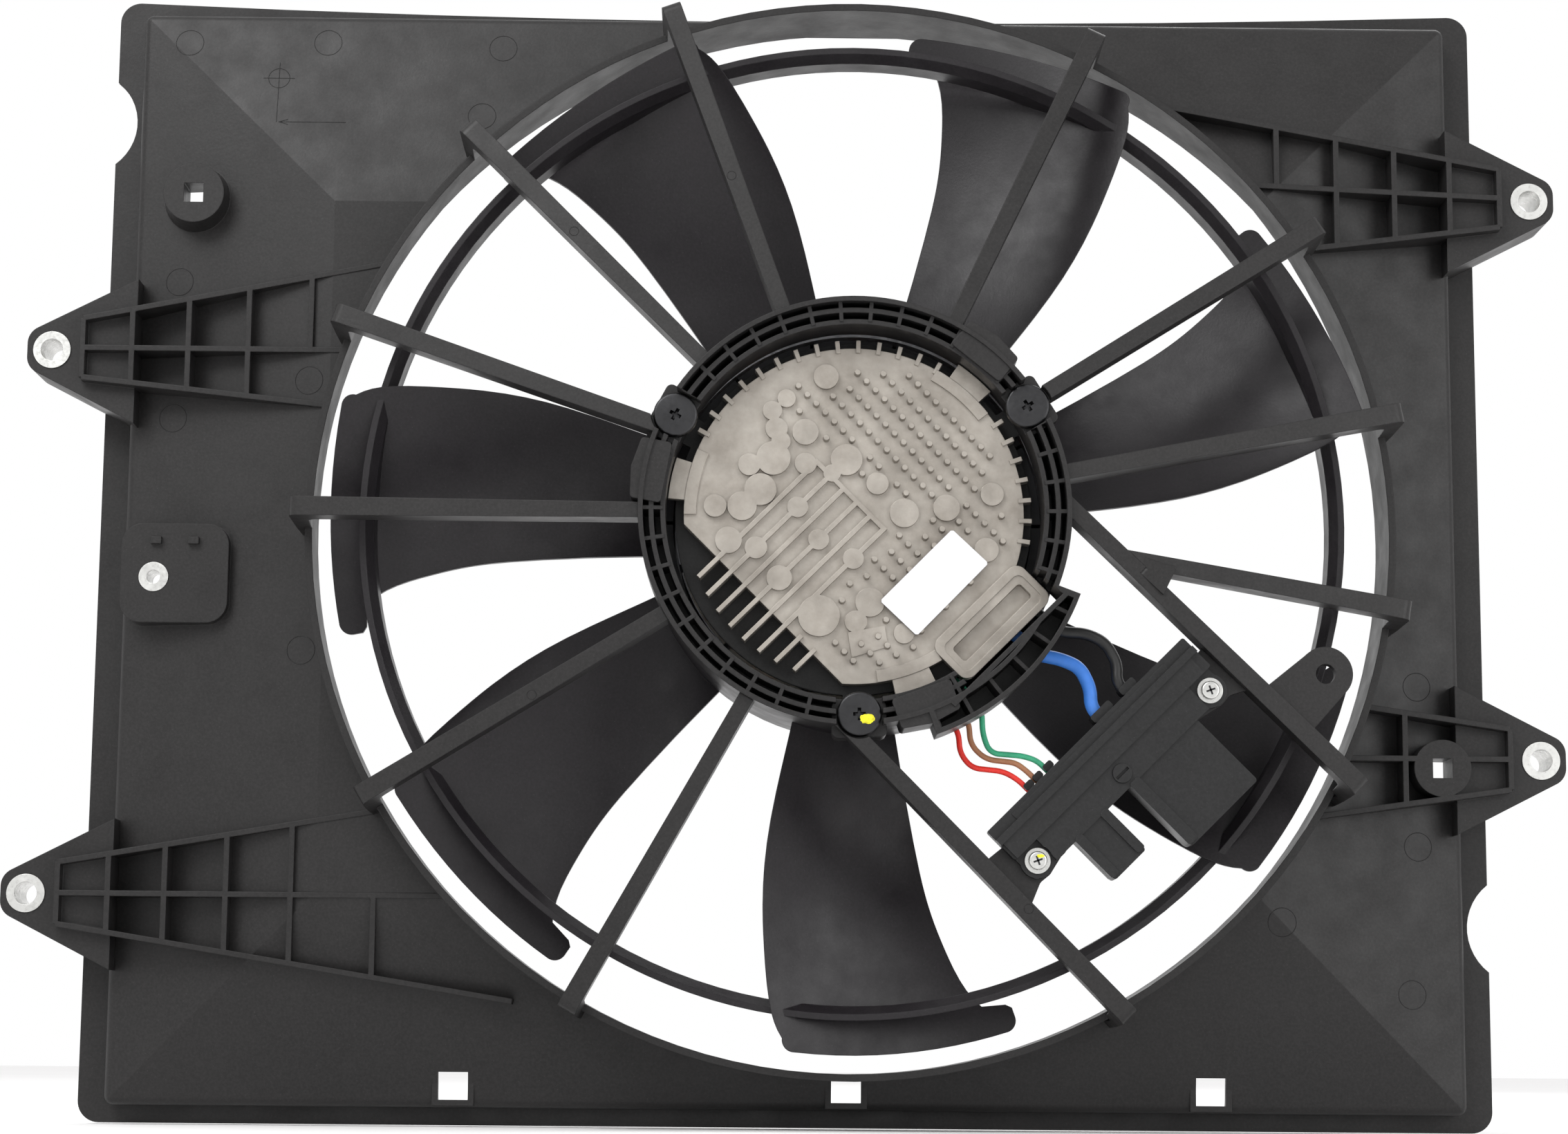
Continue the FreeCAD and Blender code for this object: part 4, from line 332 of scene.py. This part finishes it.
def moulded(name, dark, light, roughness=0.42, edge=0.0006):
    """Moulded black plastic: satin, grained, cloudy where the melt flowed, with pale dust specks."""
    finish = Finish(name, roughness, specular=0.3)
    clouds = finish.noise(scale=11.0, detail=5.0, roughness=0.6)
    grain = finish.noise(MOULDED_GRAIN, detail=2.0)
    specks = finish.level(finish.specks(scale=420.0), low=1.0, high=0.0, start=0.03, end=0.10)
    tone = finish.ramp(clouds, [(0.25, dark), (0.75, light)])
    paler = finish.level(grain, low=0.0, high=0.35, start=0.35, end=0.75)
    tone = finish.blend(paler, tone, shade(light, 2.2))
    tone = finish.blend(finish.level(specks, low=0.0, high=0.10), tone, DUST)
    finish.colour(tone)
    finish.rough(roughness - 0.07, roughness + 0.1, scale=60.0, detail=4.0)
    finish.bump(grain, finish.noise(scale=240.0, detail=2.0), strength=0.25, distance=0.00012, edge=edge)
    return finish.material


def cast(name, dark, light):
    """Bare die-cast aluminium: warm grey, mottled, with a fine pitted skin."""
    finish = Finish(name, 0.45, metallic=0.85)
    clouds = finish.noise(scale=55.0, detail=6.0, roughness=0.65)
    tone = finish.ramp(clouds, [(0.3, dark), (0.7, light)])
    stain = finish.level(finish.noise(scale=24.0), low=0.0, high=0.5, start=0.55, end=0.75)
    finish.colour(finish.blend(stain, tone, shade(dark, 0.72)))
    finish.rough(0.36, 0.6, scale=130.0, detail=4.0)
    finish.bump(finish.noise(scale=520.0), finish.noise(scale=95.0), strength=0.35, distance=0.0002,
                edge=0.0004)
    return finish.material


def metal(name, colour, roughness=0.3):
    """Plated or ground steel with faint scratches."""
    finish = Finish(name, roughness, metallic=1.0)
    clouds = finish.noise(scale=120.0, detail=4.0)
    finish.colour(finish.ramp(clouds, [(0.3, shade(colour, 0.8)), (0.7, colour)]))
    finish.rough(roughness - 0.08, roughness + 0.12, SCRATCHES, detail=3.0)
    finish.bump(finish.noise(SCRATCHES, detail=2.0), strength=0.12, distance=0.0001, edge=0.0003)
    return finish.material


def soft(name, colour, roughness):
    """Rubber, insulation, lacquer or magnet: one tone with a fine skin."""
    finish = Finish(name, roughness, specular=0.4)
    clouds = finish.noise(scale=90.0)
    finish.colour(finish.ramp(clouds, [(0.3, shade(colour, 0.8)), (0.7, shade(colour, 1.15))]))
    finish.rough(roughness - 0.06, roughness + 0.08, scale=150.0, detail=3.0)
    finish.bump(finish.noise(SOFT_GRAIN, detail=2.0), strength=0.15, distance=0.0001, edge=0.0002)
    return finish.material


SLOT_FINISH = {
    "shroud_plastic": moulded("shroud_plastic", (0.0085, 0.008, 0.008), (0.0145, 0.0137, 0.0137)),
    "fan_plastic": moulded("fan_plastic", (0.0065, 0.0055, 0.0065), (0.0105, 0.009, 0.0105), 0.38),
    "connector_plastic": moulded("connector_plastic", (0.007, 0.007, 0.0072), (0.0115, 0.0115, 0.0118),
                                 edge=0.0003),
    "zinc_steel": metal("zinc_steel", (0.66, 0.66, 0.64), 0.32),
    "black_coat": moulded("black_coat", (0.006, 0.006, 0.006), (0.012, 0.012, 0.012), 0.5),
    "black_screw": metal("black_screw", (0.05, 0.05, 0.052), 0.38),
    "plated_steel": metal("plated_steel", (0.45, 0.45, 0.47), 0.35),
    "magnet": soft("magnet", (0.03, 0.03, 0.033), 0.5),
    "bearing_steel": metal("bearing_steel", (0.7, 0.7, 0.72), 0.15),
    "cast_aluminium": cast("cast_aluminium", (0.27, 0.245, 0.215), (0.42, 0.39, 0.35)),
    "lamination_steel": metal("lamination_steel", (0.35, 0.35, 0.37), 0.4),
    "copper": metal("copper", (0.72, 0.33, 0.16)),
    "insulator_plastic": soft("insulator_plastic", (0.6, 0.58, 0.5), 0.5),
    "board": soft("board", (0.02, 0.12, 0.05), 0.35),
    "seal_rubber": soft("seal_rubber", (0.015, 0.015, 0.015), 0.7),
    "wire_blue": soft("wire_blue", (0.045, 0.19, 0.62), 0.45),
    "wire_black": soft("wire_black", (0.012, 0.012, 0.012), 0.4),
    "wire_red": soft("wire_red", (0.72, 0.03, 0.02), 0.45),
    "wire_brown": soft("wire_brown", (0.36, 0.16, 0.08), 0.45),
    "wire_green": soft("wire_green", (0.04, 0.36, 0.19), 0.45),
    "terminal_metal": metal("terminal_metal", (0.7, 0.62, 0.42)),
}


def dress_nodes():
    """Give every CAD node its slot's finish."""
    for row in frame["record"]["subparts"]:
        thing = NODES[row["node"]]
        thing.data.materials.clear()
        thing.data.materials.append(SLOT_FINISH[row["material_slot"]])


def make_floor():
    """A plain pale floor under the shroud's lower edge."""
    low = CAD_LOW.z - FLOOR_GAP
    corners = [(x * FLOOR_REACH, y * FLOOR_REACH, low) for x, y in ((-1, -1), (1, -1), (1, 1), (-1, 1))]
    mesh = bpy.data.meshes.new("floor")
    mesh.from_pydata(corners, [], [(0, 1, 2, 3)])
    floor = place("floor", mesh)
    finish = Finish("floor", 0.8, specular=0.2)
    clouds = finish.noise(scale=3.0)
    finish.colour(finish.ramp(clouds, [(0.3, (0.96, 0.96, 0.96)), (0.7, (0.98, 0.98, 0.98))]))
    mesh.materials.append(finish.material)


def smooth(thing, angle=CREASE_ANGLE):
    """Smooth shading on a new piece, with its creases kept."""
    for face in thing.data.polygons:
        face.use_smooth = True
    thing.data.set_sharp_from_angle(angle=math.radians(angle))


def drop(x, z, names):
    """The first point that a line towards the radiator meets on the named nodes, in metres from mm."""
    start = Vector((x, RAY_START, z)) * MM
    hits = [NODES[name].ray_cast(start, TOWARDS_RADIATOR)[:2] for name in names]
    return min((point for found, point in hits if found), key=lambda point: point.y)


def circle(x, z, radius, names, steps):
    """Points of a circle laid on the named nodes' surface."""
    turns = [2 * math.pi * step / steps for step in range(steps)]
    return [drop(x + radius * math.cos(turn), z + radius * math.sin(turn), names) for turn in turns]


def line(start, end, names, steps=LINE_STEPS):
    """Points of a straight line laid on the named nodes' surface."""
    start, end = Vector(start), Vector(end)
    points = [start.lerp(end, step / steps) for step in range(steps + 1)]
    return [drop(point.x, point.y, names) for point in points]


def beads(name, lines, radius, body, slot):
    """Thin round beads along lines of points, each line open or closed."""
    data = bpy.data.curves.new(name, "CURVE")
    data.dimensions = "3D"
    data.bevel_depth = radius * MM
    data.bevel_resolution = 2
    for points, closed in lines:
        spline = data.splines.new("POLY")
        spline.points.add(len(points) - 1)
        for knot, point in zip(spline.points, points):
            knot.co = (*point, 1)
        spline.use_cyclic_u = closed
    data.materials.append(SLOT_FINISH[slot])
    thing = place(name, data)
    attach(thing, body)


def mesh_of(shape, name):
    """A mesh made from an edited shape, which is then let go."""
    mesh = bpy.data.meshes.new(name)
    shape.to_mesh(mesh)
    shape.free()
    return mesh


def mesh_piece(name, vertices, faces, body, material):
    """A mesh piece with its finish, that rides on a body."""
    mesh = bpy.data.meshes.new(name)
    mesh.from_pydata(vertices, [], faces)
    mesh.materials.append(material)
    thing = place(name, mesh)
    smooth(thing)
    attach(thing, body)


def prism_faces(count, base=0):
    """The two ends and the sides of a prism, whose second ring of corners follows its first."""
    ends = [tuple(range(base, base + count)), tuple(range(base + 2 * count - 1, base + count - 1, -1))]
    sides = []
    for step in range(count):
        here, after = base + step, base + (step + 1) % count
        sides.append((here, here + count, after + count, after))
    return ends + sides


def datum_mark(names):
    """The lines of the datum mark in the upper left corner."""
    x, z = DATUM
    foot = z - DATUM_FOOT
    tip = (x + ARROW_TIP, foot)
    return [(circle(x, z, DATUM_RING, names, PANEL_RING_STEPS), True),
            (line((x - DATUM_SIDE, z), (x + DATUM_SIDE, z), names), False),
            (line((x, z + DATUM_TOP), (x, foot), names), False),
            (line(tip, (x + ARROW_END, foot), names), False),
            (line(tip, (x + BARB_END, foot + BARB_RISE), names, BARB_STEPS), False),
            (line(tip, (x + BARB_END, foot - BARB_RISE), names, BARB_STEPS), False)]


def moulding_marks():
    """Ejector rings on the panel and the struts, and the datum mark."""
    panel = [name for name in NODES if name == "shroud" or name.startswith("mount_arm")]
    struts = [name for name in NODES if name.startswith("strut_")]
    rings = [(circle(x, z, PANEL_RING, panel, PANEL_RING_STEPS), True) for x, z in PANEL_MARKS]
    beads("ejector_rings", rings + datum_mark(panel), PANEL_BEAD, "shroud", "shroud_plastic")
    rings = [(circle(x, z, STRUT_RING, struts, STRUT_RING_STEPS), True) for x, z in STRUT_MARKS]
    beads("strut_rings", rings, STRUT_BEAD, "shroud", "shroud_plastic")


def plain_head():
    """A round screw head with a rounded rim, its middle at the origin."""
    head = bmesh.new()
    radius = HEAD_RADIUS * MM
    bmesh.ops.create_cone(head, cap_ends=True, segments=HEAD_SIDES, radius1=radius, radius2=radius,
                          depth=HEAD_HEIGHT * MM)
    rim = [edge for edge in head.edges if all(vertex.co.z > 0 for vertex in edge.verts)]
    bmesh.ops.bevel(head, geom=rim, offset=DOME * MM, segments=DOME_STEPS, affect="EDGES", profile=0.5)
    return mesh_of(head, "head")


def cross_cutter():
    """Two crossed bars, smaller below, that cut the cross into a head."""
    cross = bmesh.new()
    for turn in (0.0, math.pi / 2):
        bar = bmesh.ops.create_cube(cross, size=1.0)["verts"]
        bmesh.ops.scale(cross, vec=(CROSS_LENGTH * MM, CROSS_WIDTH * MM, CROSS_HEIGHT * MM), verts=bar)
        for vertex in bar:
            if vertex.co.z < 0:
                vertex.co.x *= CROSS_TAPER_ALONG
                vertex.co.y *= CROSS_TAPER_ACROSS
        bmesh.ops.rotate(cross, cent=(0, 0, 0), matrix=Matrix.Rotation(turn, 3, "Z"), verts=bar)
    bmesh.ops.translate(cross, vec=(0, 0, CROSS_LIFT * MM), verts=cross.verts)
    return mesh_of(cross, "cross")


def recessed_head(turn):
    """A screw's head with a cross sunk into it, standing on its seat at the origin."""
    head, cutter = place("head", plain_head()), place("cross", cross_cutter())
    carve = head.modifiers.new("cross", "BOOLEAN")
    carve.object = cutter
    carve.solver = "EXACT"
    carve.use_self = True
    bpy.context.view_layer.update()
    carved = bpy.data.meshes.new_from_object(head.evaluated_get(bpy.context.evaluated_depsgraph_get()))
    bpy.data.objects.remove(cutter)
    bpy.data.objects.remove(head)
    carved.transform(Matrix.Rotation(turn, 4, "Z"))
    carved.transform(Matrix.Translation((0, 0, HEAD_HEIGHT * MM / 2)))
    carved.transform(Matrix.Rotation(math.pi / 2, 4, "X"))
    return carved


def screw_heads():
    """The three motor screws' heads with their crosses, which stand for the plain ones."""
    together = bmesh.new()
    for radius, angle in MOTOR_SCREWS:
        turn = math.radians(angle)
        head = recessed_head(turn)
        spot = Vector((radius * math.cos(turn), -SCREW_SEAT, radius * math.sin(turn)))
        head.transform(Matrix.Translation(spot * MM))
        together.from_mesh(head)
    mesh = mesh_of(together, "motor_screw_heads")
    mesh.materials.append(SLOT_FINISH["black_screw"])
    thing = place("motor_screw_heads", mesh)
    smooth(thing)
    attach(thing, "shroud")
    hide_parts("motor_screws")


def connector_screw_shade_crosses():
    """Dark crosses laid just over the two zinc screws of the connector: painted shade that stands for
    their cross recesses.
    """
    for number, (x, z) in enumerate(CONNECTOR_SCREWS):
        face = drop(x, z, ["connector_screws"]).y
        vertices, faces = [], []
        for turn in (SHADE_CROSS_TURN, SHADE_CROSS_TURN + math.pi / 2):
            along = Vector((math.cos(turn), math.sin(turn))) * SHADE_CROSS_REACH
            side = Vector((-math.sin(turn), math.cos(turn))) * SHADE_CROSS_HALF_WIDTH
            corners = (along + side, along - side, -along - side, -along + side)
            faces += prism_faces(len(corners), len(vertices))
            # The slab stands just above the screw's face, so its dark finish paints the shade of a cross
            # recess that is not cut
            for depth in (face + SHADE_CROSS_DEPTH * MM, face - SHADE_CROSS_RISE * MM):
                vertices += [((x + corner.x) * MM, depth, (z + corner.y) * MM) for corner in corners]
        mesh_piece("connector_screw_cross_%d" % number, vertices, faces, "shroud",
                   SLOT_FINISH["black_screw"])


def paint_dabs():
    """Dabs of yellow paint on the lowest motor screw and on one connector screw."""
    finish = Finish("yellow_paint", 0.5, specular=0.4)
    mottle = finish.noise(scale=700.0, detail=4.0)
    finish.colour(finish.ramp(mottle, [(0.35, (0.55, 0.5, 0.01)), (0.6, (0.9, 0.84, 0.02))]))
    finish.bump(finish.noise(scale=900.0), strength=0.5, distance=0.0003)
    for name, x, z, height, length, width in DABS:
        blob = bmesh.new()
        bmesh.ops.create_icosphere(blob, subdivisions=3, radius=1.0)
        for vertex in blob.verts:
            ragged = 1.0 + random.uniform(-DAB_RAGGEDNESS, DAB_RAGGEDNESS)
            across, up = x + vertex.co.x * length * ragged, z + vertex.co.y * width * ragged
            vertex.co = Vector((across, -(height + vertex.co.z * DAB_HALF_THICKNESS), up)) * MM
        mesh = mesh_of(blob, name)
        mesh.materials.append(finish.material)
        thing = place(name, mesh)
        smooth(thing, DAB_CREASE_ANGLE)
        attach(thing, "shroud")


def cover_ramp():
    """The small bright ramp cast near the cover's lower edge."""
    vertices = []
    for (x, z), rise in zip(RAMP_CORNERS, RAMP_RISES):
        vertices.append((x * MM, -(COVER_FLOOR + rise) * MM, z * MM))
    vertices += [(x * MM, -(COVER_FLOOR - RAMP_SINK) * MM, z * MM) for x, z in RAMP_CORNERS]
    mesh_piece("cover_ramp", vertices, prism_faces(len(RAMP_CORNERS)), "shroud",
               SLOT_FINISH["cast_aluminium"])


def sticker():
    """The blank white sticker that lies on the cover's pins, its corners a little round."""
    corners = [Vector(corner) for corner in STICKER_CORNERS]
    outline = []
    for index, corner in enumerate(corners):
        back = (corners[index - 1] - corner).normalized() * STICKER_ROUNDING
        ahead = (corners[(index + 1) % len(corners)] - corner).normalized() * STICKER_ROUNDING
        outline += [corner + back * (1 - share) + ahead * share for share in ROUNDING_SHARES]
    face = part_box("controller_cover")[0].y - STICKER_FACE * MM
    vertices = []
    for depth in (face, face + STICKER_THICKNESS * MM):
        vertices += [(point.x * MM, depth, point.y * MM) for point in outline]
    finish = Finish("sticker_paper", 0.45, specular=0.4)
    clouds = finish.noise(scale=60.0, detail=4.0)
    finish.colour(finish.ramp(clouds, [(0.3, (0.62, 0.62, 0.64)), (0.7, (0.7, 0.7, 0.72))]))
    finish.bump(finish.noise(scale=300.0), strength=0.1, distance=0.0001)
    mesh_piece("cover_sticker", vertices, prism_faces(len(outline)), "shroud", finish.material)


make_camera()
make_light()
dress_nodes()
make_floor()
bpy.context.view_layer.update()
moulding_marks()
screw_heads()
connector_screw_shade_crosses()
paint_dabs()
cover_ramp()
sticker()
bpy.context.scene.view_settings.view_transform = "Standard"
